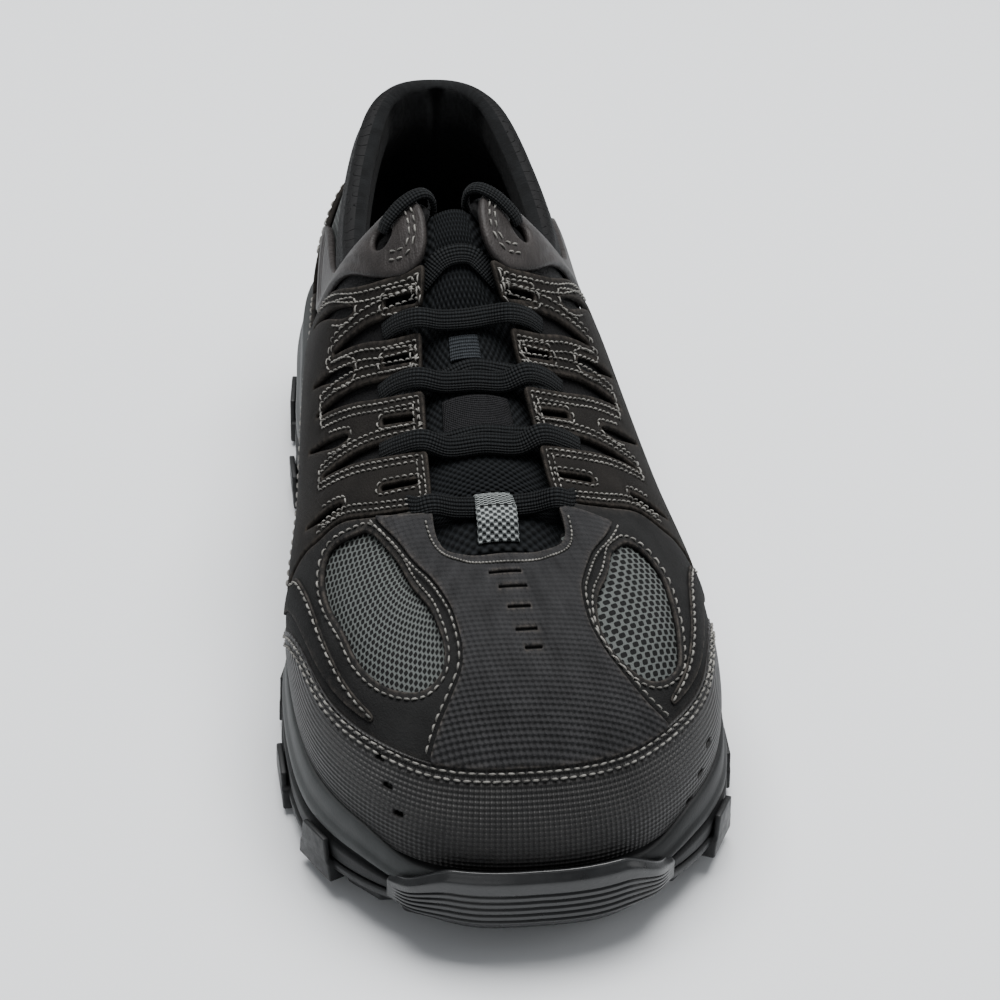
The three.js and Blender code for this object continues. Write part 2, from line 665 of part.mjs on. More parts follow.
function plateRing(out, height) {
  return ringRows.map((row) => {
    const point = skin(row, 0).addScaledVector(outward(row), flareAt(row) + out);
    point.z = ground(point.y) + height;
    return point;
  });
}

// A lug of the tread, between two sections and two shares of the width.
function makeLug(rows, shares) {
  const corner = (row, share, height, grow) => {
    const out = (r) => skin(r, 0).addScaledVector(outward(r), flareAt(r) - 1.5);
    const point = out(-row).lerp(out(row), (share + 1) / 2);
    const middleRow = (rows[0] + rows[1]) / 2;
    const middleShare = (shares[0] + shares[1]) / 2;
    const centre = out(-middleRow).lerp(out(middleRow), (middleShare + 1) / 2);
    const place = centre.lerp(point, grow);
    place.z = ground(place.y) + height;
    return place;
  };
  const cornersOf = (height, grow) => [
    corner(rows[0], shares[0], height, grow), corner(rows[0], shares[1], height, grow),
    corner(rows[1], shares[1], height, grow), corner(rows[1], shares[0], height, grow),
  ];
  const points = [...cornersOf(0, 0.86), ...cornersOf(LUG_DEPTH + 0.8, 1)];
  const faces = [...bandFaces(2, 4, false), [0, 2, 1], [0, 3, 2], [4, 5, 6], [4, 6, 7]];
  return solid(points, faces);
}

const LUG_CELLS = [[-1, -0.46], [-0.32, 0.32], [0.46, 1]];
const TREAD_FRONT = 0.75;
const TREAD_BACK = 7.35;
const LUG_SHARE = 0.68;
function makeLugs() {
  const lugs = [];
  for (let k = 0; k < LUG_STATIONS; k++) {
    const start = mix(TREAD_FRONT, TREAD_BACK, k / LUG_STATIONS);
    const length = (LUG_SHARE * (TREAD_BACK - TREAD_FRONT)) / LUG_STATIONS;
    LUG_CELLS.forEach((shares, column) => {
      const shift = column === 1 ? 0.5 * length : 0;
      lugs.push(makeLug([start + shift, start + shift + length], shares));
    });
  }
  return lugs;
}

// A tooth of the outsole that climbs the side of the midsole: height and inner face, step by step.
function makeTooth(row, half, climb) {
  const rise = deck(skin(row, 0).y) - ground(skin(row, 0).y);
  const steps = [[1.2 - rise, -3], [-3 * GAP, -2.5], [0, GAP], [climb, GAP]];
  const at = (s, t, out) => {
    const r = mix(row - half, row + half, mix(s, 0.5, 0.35 * t));
    const point = sidePoint(r, 0, flareAt(r) * 1.05 + out);
    point.z += steps[Math.round(3 * t)][0];
    return point;
  };
  const inner = (s, t) => at(s, t, steps[Math.round(3 * t)][1]);
  return sheet((s, t) => at(s, t, GAP + TOOTH_THICK), inner, 1, 3);
}

function makeTeeth() {
  const teeth = [];
  for (let k = 0; k < TEETH; k++) {
    const row = mix(1.85, 7.3, k / (TEETH - 1));
    const climb = k % 2 ? 4 : 7;
    [-1, 1].forEach((side) => teeth.push(makeTooth(side * row, 0.2, climb)));
  }
  return teeth;
}

// The ribbed bumper of the outsole that covers the front of the toe.
function randPoint(s, t, out) {
  const row = mix(-RAND_REACH, RAND_REACH, s);
  const foot = skin(row, 0);
  const shoulder = 1 - smooth(0.62, 1, Math.abs(row) / RAND_REACH) * 0.45;
  const low = ground(foot.y) + LUG_DEPTH * 0.4;
  const point = foot.clone().addScaledVector(outward(row), flareAt(row) * 1.05 + out);
  point.z = mix(low, mix(low, foot.z + LIP_HEIGHT - 1, shoulder), t);
  return point;
}

function makeRand() {
  const rings = 2 * RIBS + 1;
  const outer = (s, t) => {
    const rib = Math.round(t * rings) % 2 ? 0 : RIB_DEPTH;
    const round = 1.4 * smooth(0.85, 1, t);
    return randPoint(s, t, GAP + RAND_THICK - rib - round);
  };
  return sheet(outer, (s, t) => randPoint(s, t, t < 0.2 ? -2 : GAP), 10, rings);
}

function makeOutsole() {
  const top = LUG_DEPTH + OUTSOLE_THICK;
  const plate = stack([
    plateRing(-2.5, LUG_DEPTH), plateRing(0.6, LUG_DEPTH + 1),
    plateRing(0.6, top - 0.4), plateRing(-0.5, top),
  ]);
  return joinAll([plate, ...makeLugs(), ...makeTeeth(), makeRand()]);
}

function makeInsole() {
  const ring = (inset, height) => ringRows.map((row) => {
    const point = sidePoint(row, 1, -WALL - inset);
    point.z += WALL + INSOLE_LIFT + height;
    return point;
  });
  return stack([ring(2.6, 0), ring(2.4, 1), ring(3, INSOLE_THICK - 1), ring(4, INSOLE_THICK)]);
}

// Materials.
const finish = (color, roughness) => new THREE.MeshStandardMaterial({ color, roughness, metalness: 0 });
const blackRubber = finish(0x17181a, 0.45);
const greyFoam = finish(0x55585b, 0.75);
const liningCloth = finish(0x101112, 0.95);
const meshCloth = finish(0x707375, 0.9);
const charcoalNubuck = finish(0x2b2c2e, 0.85);
const brownNubuck = finish(0x282422, 0.88);
const greyLeather = finish(0x47474a, 0.6);
const capLeather = finish(0x1f1f20, 0.55);
const blackLace = finish(0x121314, 0.9);

const sneaker = new THREE.Group();
// The origin stands under the middle of the sole's outline.
const outline = [...plateRing(0.6, 0), randPoint(0.5, 0.5, GAP + RAND_THICK)];
const middle = new THREE.Box3().setFromPoints(outline).getCenter(vec(0, 0, 0));

function piece(name, made, material) {
  const mesh = new THREE.Mesh(geometryOf(made), material);
  mesh.name = name;
  mesh.position.set(-middle.x, -middle.y, 0);
  sneaker.add(mesh);
}

piece("outsole", makeOutsole(), blackRubber);
piece("midsole", makeMidsole(), greyFoam);
piece("insole", makeInsole(), liningCloth);
piece("upper", makeUpper(), meshCloth);
piece("toe_cap", makeToeCap().subtract(wallRoom), capLeather);
piece("vamp", makeVamp().subtract(wallRoom), charcoalNubuck);
piece("heel_counter", makeCounter(), brownNubuck);
[["outer", 1], ["inner", -1]].forEach(([name, side]) => {
  piece("eyestay_" + name, makeEyestay(side).subtract(wallRoom), brownNubuck);
  piece("top_eyestay_" + name, makeTopEyestay(side).subtract(wallRoom), greyLeather);
  piece("mudguard_" + name, makeGuard(side), charcoalNubuck);
  piece("lace_end_" + name, makeLaceEnd(side), blackLace);
});
piece("tongue", makeTongue().subtract(wallRoom), liningCloth);
piece("tongue_label", makeLabel(), liningCloth);
piece("lace_keeper", makeKeeper(), greyLeather);
piece("lace", makeLace(), blackLace);

export default sneaker;
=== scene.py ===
# %% [markdown]
# Safety sneaker, left foot.
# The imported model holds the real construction: last, sole, overlays, laces. This script dresses it. Each
# soft piece is rebuilt as a fine mesh on the same last, so it sits where its plain solid is, and each
# gets its own procedural finish. Lengths in the helpers are millimetres, as on a shoemaker's bench, and
# become metres where a mesh is made.

# %% Load the frame
import math

import bmesh
import bpy
import numpy as np
from mathutils import Matrix, Vector
from mathutils.geometry import delaunay_2d_cdt


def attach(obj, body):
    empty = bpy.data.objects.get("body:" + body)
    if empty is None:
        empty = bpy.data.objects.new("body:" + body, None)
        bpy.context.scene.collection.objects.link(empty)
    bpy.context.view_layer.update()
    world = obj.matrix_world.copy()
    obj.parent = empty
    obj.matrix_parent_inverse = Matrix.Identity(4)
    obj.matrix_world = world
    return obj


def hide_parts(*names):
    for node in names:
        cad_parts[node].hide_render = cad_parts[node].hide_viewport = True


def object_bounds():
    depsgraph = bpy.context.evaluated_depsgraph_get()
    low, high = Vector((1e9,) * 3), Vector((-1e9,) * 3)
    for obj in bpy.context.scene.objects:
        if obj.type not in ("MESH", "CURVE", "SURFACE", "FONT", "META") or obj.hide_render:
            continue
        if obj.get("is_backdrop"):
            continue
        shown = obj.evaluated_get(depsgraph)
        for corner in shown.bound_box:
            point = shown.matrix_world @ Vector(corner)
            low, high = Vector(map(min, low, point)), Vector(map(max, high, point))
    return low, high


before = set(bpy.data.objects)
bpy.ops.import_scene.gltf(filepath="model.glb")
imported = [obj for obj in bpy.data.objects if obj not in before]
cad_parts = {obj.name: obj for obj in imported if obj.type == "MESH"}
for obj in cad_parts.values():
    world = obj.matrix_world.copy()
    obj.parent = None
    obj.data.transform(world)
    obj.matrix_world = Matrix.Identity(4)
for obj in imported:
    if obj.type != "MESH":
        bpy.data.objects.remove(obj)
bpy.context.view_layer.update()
MM = 0.001

# %% [markdown]
# The last.
# A shoe is built round a last, and every panel follows it. Sixteen sections run round the foot, from the
# toe over the outer side to the heel and back. Each is a cubic curve from the feather line, where upper
# and sole meet, to the top line. Smooth closed rails join the sections. A point of the shoe is then just
# a section number, a share of the way up, and a distance from the surface.

# %% Sizes of the last
LENGTH = 310
BALL_WIDTH = 122
INSTEP_HEIGHT = 126
COLLAR_HEIGHT = 105
SOLE_HEIGHT = 42
SECTIONS = 16
HEEL = 8
ANKLE = 6
PITCH = 0.129 * LENGTH
HEIGHT = 0.8 * INSTEP_HEIGHT
WALL = 2.6
SEAT = 0.55

# Shares of the sizes above: along, out, up, topAlong, topOut, topUp, lean, rise, roll, drop.
LAST = np.array([
    [-0.484, 0.008, 0.667, -0.239, 0.000, 0.579, 0.025, 0.206, 0.279, 0.040],
    [-0.455, 0.254, 0.643, -0.239, 0.082, 0.579, 0.033, 0.206, 0.270, 0.040],
    [-0.361, 0.426, 0.643, -0.223, 0.139, 0.595, 0.049, 0.206, 0.246, 0.040],
    [-0.219, 0.467, 0.690, -0.155, 0.107, 0.659, 0.057, 0.214, 0.221, 0.063],
    [-0.071, 0.418, 0.810, -0.039, 0.074, 0.770, 0.057, 0.222, 0.197, 0.111],
    [0.090, 0.361, 0.905, 0.100, 0.033, 0.992, 0.049, 0.238, 0.213, 0.143],
    [0.245, 0.344, 0.952, 0.206, 0.270, 0.838, 0.033, 0.175, 0.033, 0.127],
    [0.413, 0.295, 0.976, 0.429, 0.205, 0.952, 0.033, 0.190, 0.025, 0.175],
    [0.481, 0.025, 1.000, 0.471, 0.025, 1.000, 0.049, 0.206, -0.025, 0.206],
    [0.413, -0.254, 0.976, 0.429, -0.164, 0.971, 0.033, 0.190, 0.025, 0.175],
    [0.245, -0.328, 0.952, 0.200, -0.270, 0.838, 0.041, 0.175, 0.033, 0.127],
    [0.097, -0.361, 0.905, 0.100, -0.098, 0.984, 0.066, 0.238, 0.213, 0.143],
    [-0.052, -0.402, 0.810, -0.039, -0.115, 0.770, 0.074, 0.222, 0.197, 0.111],
    [-0.200, -0.459, 0.690, -0.155, -0.131, 0.659, 0.057, 0.214, 0.221, 0.063],
    [-0.355, -0.418, 0.643, -0.223, -0.139, 0.595, 0.049, 0.206, 0.246, 0.040],
    [-0.455, -0.246, 0.643, -0.239, -0.082, 0.579, 0.033, 0.206, 0.270, 0.040],
])


# %% The surface of the last
def smooth(low, high, x):
    """A soft step from 0 to 1."""
    t = np.clip((np.asarray(x, float) - low) / (high - low), 0, 1)
    return t * t * (3 - 2 * t)


def mix(a, b, t):
    return a + (b - a) * t


def unit(v):
    return v / np.maximum(np.linalg.norm(v, axis=-1, keepdims=True), 1e-9)


def row_of(row):
    """Distance from the toe section, 0 to 8, on either side."""
    turn = np.mod(row, SECTIONS)
    return np.where(turn <= HEEL, turn, SECTIONS - turn)


def section_points():
    """The rails' points: feather line, side, shoulder and top line of each section."""
    along, out, up, top_along, top_out, top_up, lean, rise, roll, drop = LAST.T
    size = np.where(row_of(np.arange(SECTIONS)) >= ANKLE, COLLAR_HEIGHT, INSTEP_HEIGHT)
    base = np.stack([out * BALL_WIDTH, along * LENGTH, up * SOLE_HEIGHT], 1)
    top = np.stack([top_out * BALL_WIDTH, top_along * LENGTH, top_up * size], 1)
    before, after = np.roll(base, 1, 0), np.roll(base, -1, 0)
    away = unit(np.stack([after[:, 1] - before[:, 1], before[:, 0] - after[:, 0], 0 * out], 1))
    down = unit((base - top) * [1, 1, 0])
    side = base + away * (lean * BALL_WIDTH)[:, None]
    side[:, 2] += rise * INSTEP_HEIGHT
    shoulder = top + down * (roll * BALL_WIDTH)[:, None]
    shoulder[:, 2] -= drop * INSTEP_HEIGHT
    return base, side, shoulder, top


RAILS = section_points()


def rail_point(points, row):
    """A closed smooth curve through the sections, read at any section number."""
    n = len(points)
    k = np.floor(row).astype(int)
    t = (row - k)[:, None]
    p0, p1, p2, p3 = (points[(k + j) % n] for j in (-1, 0, 1, 2))
    a, b = 0.5 * (p2 - p0), 0.5 * (p3 - p1)
    return p1 + a * t + (3 * (p2 - p1) - 2 * a - b) * t**2 + (2 * (p1 - p2) + a + b) * t**3


def skin(row, up):
    """Points of the last: row counts sections, up goes from the feather line, 0, to the top line, 1."""
    row, up = np.broadcast_arrays(np.asarray(row, float), np.asarray(up, float))
    shape = row.shape
    row, up = row.ravel(), up.ravel()
    w = 1 - up
    share = [w**3, 3 * w**2 * up, 3 * w * up**2, up**3]
    points = sum(rail_point(rail, row) * s[:, None] for rail, s in zip(RAILS, share))
    return points.reshape(*shape, 3)


PROBE = 1e-3


def skin_normal(row, up):
    row, up = np.asarray(row, float), np.asarray(up, float)
    along = skin(row + PROBE, up) - skin(row - PROBE, up)
    rise = skin(row, up + PROBE) - skin(row, up - PROBE)
    return unit(np.cross(along, rise))


def over(row, up, offset):
    """Points at a distance from the last's surface, outwards when positive."""
    return skin(row, up) + skin_normal(row, up) * np.asarray(offset, float)[..., None]


def on_last(p, height):
    """Points over the last from wrap millimetres."""
    return over(p[:, 0] / PITCH, p[:, 1] / HEIGHT, height)


def outward(row):
    """The level direction out of the foot at the feather line."""
    along = skin(row + PROBE, 0) - skin(row - PROBE, 0)
    return unit(np.stack([along[..., 1], -along[..., 0], 0 * along[..., 0]], -1))


print("last:", np.round(skin(0, 0), 1), np.round(skin(5, 1), 1))

# %% [markdown]
# The sole's plan.
# The sole stands out from the feather line by a flare, and its tread lies flat at the ball and the heel,
# with toe spring in front, a bevel behind and a lifted arch. The frame's origin is on the ground under
# the middle of this outline, so the same outline gives the shift from the last to the frame.

# %% Sizes and plan of the sole
TOE_SPRING = 10
HEEL_BEVEL = 4
ARCH_LIFT = 4
ARCH_TUCK = 3.5
GAP = 0.3
LUG_DEPTH = 4.5
OUTSOLE_THICK = 3.2
SOLE_FLARE = 9
LIP_HEIGHT = 3
RAND_THICK = 2.8
SIDE_FLARE = 1.05
FLARE = np.array([0.45, 0.55, 0.67, 0.55, 0.55, 0.67, 0.89, 1, 0.89])
PLAN_RING = 44


def flare_at(row):
    r = row_of(row)
    tuck = ARCH_TUCK * smooth(2.9, 3.9, r) * (1 - smooth(4.9, 5.9, r))
    inner = np.mod(row, SECTIONS) > HEEL
    return SOLE_FLARE * np.interp(r, np.arange(len(FLARE)), FLARE) - np.where(inner, tuck, 0)


def ground(y):
    """Height of the tread above the floor, by the place along the foot."""
    toe = np.maximum(0, (-0.255 * LENGTH - y) / (0.245 * LENGTH))
    heel = np.clip((y - 0.42 * LENGTH) / (0.1 * LENGTH), 0, 1)
    arch = smooth(-0.02 * LENGTH, 0.06 * LENGTH, y) * (1 - smooth(0.1 * LENGTH, 0.18 * LENGTH, y))
    return TOE_SPRING * toe**2 + HEEL_BEVEL * heel**2 + ARCH_LIFT * arch


def deck(y):
    return ground(y) + LUG_DEPTH + OUTSOLE_THICK


def plan_point(row, out):
    """A point of the sole's outline, at floor level."""
    return (skin(row, 0) + outward(row) * (flare_at(row) + out)[..., None]) * [1, 1, 0]


def side_point(row, up, out):
    """A point of the sole's side: up goes from the outsole's deck, 0, to the feather line, 1."""
    foot = skin(row, 0 * row)
    point = foot + outward(row) * np.asarray(out, float)[..., None]
    point[..., 2] = mix(deck(point[..., 1]) + GAP, foot[..., 2], up)
    return point


ring = plan_point(np.arange(PLAN_RING) * SECTIONS / PLAN_RING, np.full(PLAN_RING, 0.6))
tip = skin(0.0, 0) + outward(np.array(0.0)) * (flare_at(0.0) * SIDE_FLARE + GAP + RAND_THICK)
plan = np.vstack([ring, tip * [1, 1, 0]])
MIDDLE = (plan.min(0) + plan.max(0)) / 2
print("shift from the last to the frame:", np.round(MIDDLE, 3))

# %% [markdown]
# From arrays to pieces.
# Every piece is made the same way: points in millimetres on the last, faces as index lists, and one
# point attribute called wrap that remembers where each point lies on the shoe, in millimetres along and
# up the wall. Weaves and grains read wrap instead of a texture map, so they follow the form and have
# no seams. A second attribute called tone is free for each piece: a colour mask, or wear.

# %% Making a mesh piece
def drop_loose(mesh):
    """Removes points that no face uses."""
    shape = bmesh.new()
    shape.from_mesh(mesh)
    bmesh.ops.delete(shape, geom=[v for v in shape.verts if not v.link_faces], context="VERTS")
    shape.to_mesh(mesh)
    shape.free()


def new_mesh(name, points, faces, wrap=None, tone=None, slots=None):
    mesh = bpy.data.meshes.new(name)
    mesh.from_pydata(((np.asarray(points) - MIDDLE) * MM).tolist(), [], faces)
    mesh.shade_smooth()
    if wrap is not None:
        layer = mesh.attributes.new("wrap", "FLOAT_VECTOR", "POINT")
        layer.data.foreach_set("vector", np.ascontiguousarray(wrap, np.float32).ravel())
    if tone is not None:
        layer = mesh.attributes.new("tone", "FLOAT", "POINT")
        layer.data.foreach_set("value", np.ascontiguousarray(tone, np.float32).ravel())
    if slots is not None:
        mesh.polygons.foreach_set("material_index", np.asarray(slots, np.int32))
    mesh.validate()
    drop_loose(mesh)
    return mesh


def add_piece(name, mesh, materials, replaces=()):
    """Links a mesh as a piece of the shoe, riding on its one body."""
    made = bpy.data.objects.new(name, mesh)
    bpy.context.scene.collection.objects.link(made)
    for material in materials:
        mesh.materials.append(material)
    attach(made, "root")
    if replaces:
        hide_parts(*replaces)
    print(f"{name}: {len(mesh.polygons)} faces")
    return made


def grid_faces(rows, columns, close_rows=False, close_columns=False, first=0):
    """Quads of a grid whose points are listed row by row."""
    i = np.arange(rows if close_rows else rows - 1)[:, None]
    j = np.arange(columns if close_columns else columns - 1)[None, :]
    a = i * columns + j
    b = i * columns + (j + 1) % columns
    c = ((i + 1) % rows) * columns + (j + 1) % columns
    d = ((i + 1) % rows) * columns + j
    return (np.stack([a, b, c, d], -1).reshape(-1, 4) + first).tolist()


def fan(indices, flip=False):
    """One face that closes a ring of points."""
    return [list(reversed(indices)) if flip else list(indices)]


# %% [markdown]
# Cut panels.
# Leather and mesh are cut flat and pulled over the last. A panel is therefore drawn as an outline in
# section and height, with its holes, and filled with an even net of triangles, which a Delaunay
# triangulation gives. Its edge is rounded over a few rings, since a cut edge is never sharp in the
# light, and its face may swell a little between the seams and sink along each row of stitches.

# %% Outlines in section and height
def curve_through(points, step=1.2):
    """A smooth open curve through given points, in wrap millimetres, with even steps."""
    p = np.asarray(points, float) * [PITCH, HEIGHT]
    if len(p) > 2:
        padded = np.vstack([2 * p[0] - p[1], p, 2 * p[-1] - p[-2]])
        fine = []
        for k in range(len(p) - 1):
            t = np.linspace(0, 1, 16, endpoint=False)[:, None]
            p0, p1, p2, p3 = padded[k:k + 4]
            a, b = 0.5 * (p2 - p0), 0.5 * (p3 - p1)
            fine.append(p1 + a * t + (3 * (p2 - p1) - 2 * a - b) * t**2 + (2 * (p1 - p2) + a + b) * t**3)
        p = np.vstack([*fine, p[-1:]])
    return even(p, step)


def even(p, step):
    """The same line with points at even steps."""
    travel = np.concatenate([[0], np.cumsum(np.linalg.norm(np.diff(p, axis=0), axis=1))])
    count = max(2, int(round(travel[-1] / step)) + 1)
    at = np.linspace(0, travel[-1], count)
    return np.stack([np.interp(at, travel, p[:, k]) for k in (0, 1)], 1)


def loop_of(*edges, step=1.2, rounding=2):
    """A closed outline made of smooth edges that meet in slightly rounded corners."""
    p = np.vstack([curve_through(edge, step)[:-1] for edge in edges])
    p = even(np.vstack([p, p[:1]]), step)[:-1]
    for _ in range(rounding):
        p = 0.25 * np.roll(p, 1, 0) + 0.5 * p + 0.25 * np.roll(p, -1, 0)
    area = np.sum(p[:, 0] * np.roll(p[:, 1], -1) - p[:, 1] * np.roll(p[:, 0], -1))
    return p if area > 0 else p[::-1]


def mirrored(points, side):
    """The same points on the outer side, 1, or the inner side, -1."""
    return [[side * p[0], *p[1:]] for p in points]


def loop_between(first, second, side=1, **options):
    """A closed outline of two smooth edges whose ends are joined by straight ones."""
    edges = [first, [first[-1], second[0]], second, [second[-1], first[0]]]
    return loop_of(*(mirrored(edge, side) for edge in edges), **options)


def slot_loop(spine, width, step=0.9):
    """A closed outline round a spine of section, height and share of the width."""
    rows, ups, shares = np.asarray(spine, float).T
    half = shares * width / 2 / PITCH
    up_side = np.stack([rows + half, ups], 1)
    down_side = np.stack([rows - half, ups], 1)[::-1]
    return loop_between(up_side, down_side, step=step)


def inside(points, loop):
    """Which points lie inside a closed outline."""
    x, y = points[:, 0:1], points[:, 1:2]
    x0, y0 = loop[:, 0], loop[:, 1]
    x1, y1 = np.roll(x0, -1), np.roll(y0, -1)
    with np.errstate(divide="ignore", invalid="ignore"):
        crosses = ((y0 > y) != (y1 > y)) & (x < (x1 - x0) * (y - y0) / (y1 - y0) + x0)
    return crosses.sum(1) % 2 == 1


def nearest(points, targets):
    """Distance from each point to the nearest of the targets."""
    best = np.full(len(points), 1e9)
    for start in range(0, len(points), 2000):
        block = points[start:start + 2000]
        gap = np.linalg.norm(block[:, None] - targets[None], axis=2)
        best[start:start + 2000] = gap.min(1)
    return best


# %% The panel maker
EDGE = [(0.0, 0.0), (0.0, 0.5), (0.12, 0.8), (0.4, 0.96), (1.0, 1.0)]


def inset(loop, amount):
    """A loop moved to its left, into the panel."""
    run = unit(np.roll(loop, -1, 0) - np.roll(loop, 1, 0))
    return loop + np.stack([-run[:, 1], run[:, 0]], 1) * amount


def fill(rings, holes, step):
    """Triangles over a region: the points, the faces, and where each point of the loops ended up."""
    loops = [rings, *holes]
    bound = np.vstack(loops)
    low, high = rings.min(0), rings.max(0)
    xs = np.arange(low[0], high[0], step)
    ys = np.arange(low[1], high[1], step * 0.87)
    gx, gy = np.meshgrid(xs, ys)
    gx = gx + (np.arange(len(ys)) % 2)[:, None] * step / 2
    free = np.stack([gx.ravel(), gy.ravel()], 1)
    free = free[inside(free, rings)]
    for hole in holes:
        free = free[~inside(free, hole)]
    free = free[nearest(free, bound) > 0.6 * step]
    points = np.vstack([bound, free])
    edges = []
    first = 0
    for loop in loops:
        edges += [(first + k, first + (k + 1) % len(loop)) for k in range(len(loop))]
        first += len(loop)
    made = delaunay_2d_cdt([Vector(p) for p in points.tolist()], edges, [], 0, 1e-6)
    verts, faces, origin = np.array([tuple(v) for v in made[0]]), made[2], made[3]
    border = np.zeros(len(bound), int)
    for index, sources in enumerate(origin):
        for source in sources:
            if source < len(bound):
                border[source] = index
    faces = np.array([face for face in faces if len(face) == 3])
    centre = verts[faces].mean(1)
    keep = inside(centre, rings)
    for hole in holes:
        keep &= ~inside(centre, hole)
    return verts, faces[keep], border


def panel(name, outline, holes=(), lift=SEAT, thick=1.6, edge=0.9, step=1.5, swell=0.0, seams=(),
          depth=0.35, relief=None):
    """A closed leather panel on the last, with rounded edges, as a mesh. Its tone is 1 at a cut edge."""
    loops = [outline, *[hole[::-1] for hole in holes]]
    rings = [[inset(loop, share * edge) for loop in loops] for share, _ in EDGE]
    top, faces, top_border = fill(rings[-1][0], rings[-1][1:], step)
    rise = np.full(len(top), float(thick))
    away = nearest(top, np.vstack(loops))
    rise += swell * (1 - np.exp(-(away / 4) ** 2))
    for seam in seams:
        rise -= depth * np.exp(-(nearest(top, seam) / 0.9) ** 2)
    if relief is not None:
        rise += relief(top[:, 0] / PITCH, top[:, 1] / HEIGHT) * smooth(0, 3, away)
    flat = [top]
    heights = [rise + lift]
    tones = [np.exp(-(away / 0.8) ** 2)]
    tris = faces.tolist()
    # Side rings, from the bottom one up to the border of the face.
    total = sum(len(loop) for loop in loops)
    first = len(top)
    for (share, level), ring_loops in zip(EDGE[:-1], rings[:-1]):
        flat.append(np.vstack(ring_loops))
        heights.append(np.full(total, lift + level * thick))
        tones.append(np.full(total, float(level)))
    start = 0
    for loop in loops:
        span = np.arange(start, start + len(loop))
        levels = [first + j * total + span for j in range(len(EDGE) - 1)] + [top_border[span]]
        for low_ring, high_ring in zip(levels[:-1], levels[1:]):
            quads = np.stack([low_ring, np.roll(low_ring, -1), np.roll(high_ring, -1), high_ring], 1)
            tris += quads.tolist()
        start += len(loop)
    # The underside, coarser, sewn to the lowest ring.
    under, under_faces, under_border = fill(loops[0], loops[1:], 4 * step)
    index_of = np.arange(len(under)) + first + (len(EDGE) - 1) * total
    index_of[under_border] = first + np.arange(total)
    flat.append(under)
    heights.append(np.full(len(under), float(lift)))
    tones.append(np.zeros(len(under)))
    tris += index_of[under_faces[:, ::-1]].tolist()
    flat, heights = np.vstack(flat), np.concatenate(heights)
    wrap = np.column_stack([flat, heights - lift])
    return new_mesh(name, on_last(flat, heights), tris, wrap, np.concatenate(tones))

# %% [markdown]
# Stitches.
# A lockstitch shows as short raised threads with a needle hole between them. Each is a small bent
# capsule that dips into the leather at both ends, laid along a seam line at a fixed pitch. All the
# stitches of a panel are one mesh, built from arrays.

# %% Thread
STITCH = 2.5
STITCH_GAP = 0.75
THREAD = 0.32
rng = np.random.default_rng(7)


class Thread:
    """Collects stitches and turns them into one piece."""

    def __init__(self):
        self.points = []
        self.faces = []

    def run(self, line, height, pitch=STITCH + STITCH_GAP, length=STITCH, radius=THREAD):
        """Stitches along a line in wrap millimetres, at a height over the last."""
        travel = np.concatenate([[0], np.cumsum(np.linalg.norm(np.diff(line, axis=0), axis=1))])
        count = max(1, int(travel[-1] / pitch))
        starts = (np.arange(count) + 0.12) * travel[-1] / count
        shape = np.array([-0.5, 0.25, 0.36, 0.3, -0.5])
        for start in starts + rng.uniform(-0.1, 0.1, count):
            at = start + np.linspace(0, 1, len(shape)) * length
            flat = np.stack([np.interp(at, travel, line[:, k]) for k in (0, 1)], 1)
            sway = rng.uniform(-0.12, 0.12)
            spine = on_last(flat + sway * np.linspace(-1, 1, len(shape))[:, None], height + shape * 0.8)
            self.capsule(spine, radius)

    def capsule(self, spine, radius, sides=5):
        along = unit(np.gradient(spine, axis=0))
        lead = unit(np.cross(along, [0.31, 0.22, 0.92]))
        rise = np.cross(lead, along)
        width = radius * np.array([0.45, 0.95, 1.0, 0.95, 0.45])[:, None, None]
        turn = np.arange(sides) * 2 * math.pi / sides
        ring = np.cos(turn)[None, :, None] * lead[:, None] + np.sin(turn)[None, :, None] * rise[:, None]
        first = sum(len(p) for p in self.points)
        self.points.append((spine[:, None] + width * ring).reshape(-1, 3))
        self.faces += grid_faces(len(spine), sides, close_columns=True, first=first)
        self.faces += fan(range(first, first + sides), flip=True)
        self.faces += fan(range(first + (len(spine) - 1) * sides, first + len(spine) * sides))

    def finish(self, name, material):
        mesh = new_mesh(name, np.vstack(self.points), self.faces)
        return add_piece(name, mesh, [material])

# %% [markdown]
# Finishes.
# Each finish is a small network on the Principled shader. Grain, weave and ribs are bump worked out
# from the wrap attribute, so one millimetre of pattern is one millimetre of shoe. Colours are mixed a
# little by slow noise, because leather and cloth are never one flat colour. Some reliefs also carry
# painted highlight on their ridges and painted shade in their hollows. What is the same all over,
# such as sheen or coat, stands on the shader's own sockets.

# %% Small helpers for shader networks
def srgb(r, g, b):
    """A colour as read off a picture, 0 to 255, as the linear values that Blender wants."""
    c = np.array([r, g, b]) / 255
    return tuple(np.where(c <= 0.04045, c / 12.92, ((c + 0.055) / 1.055) ** 2.4))


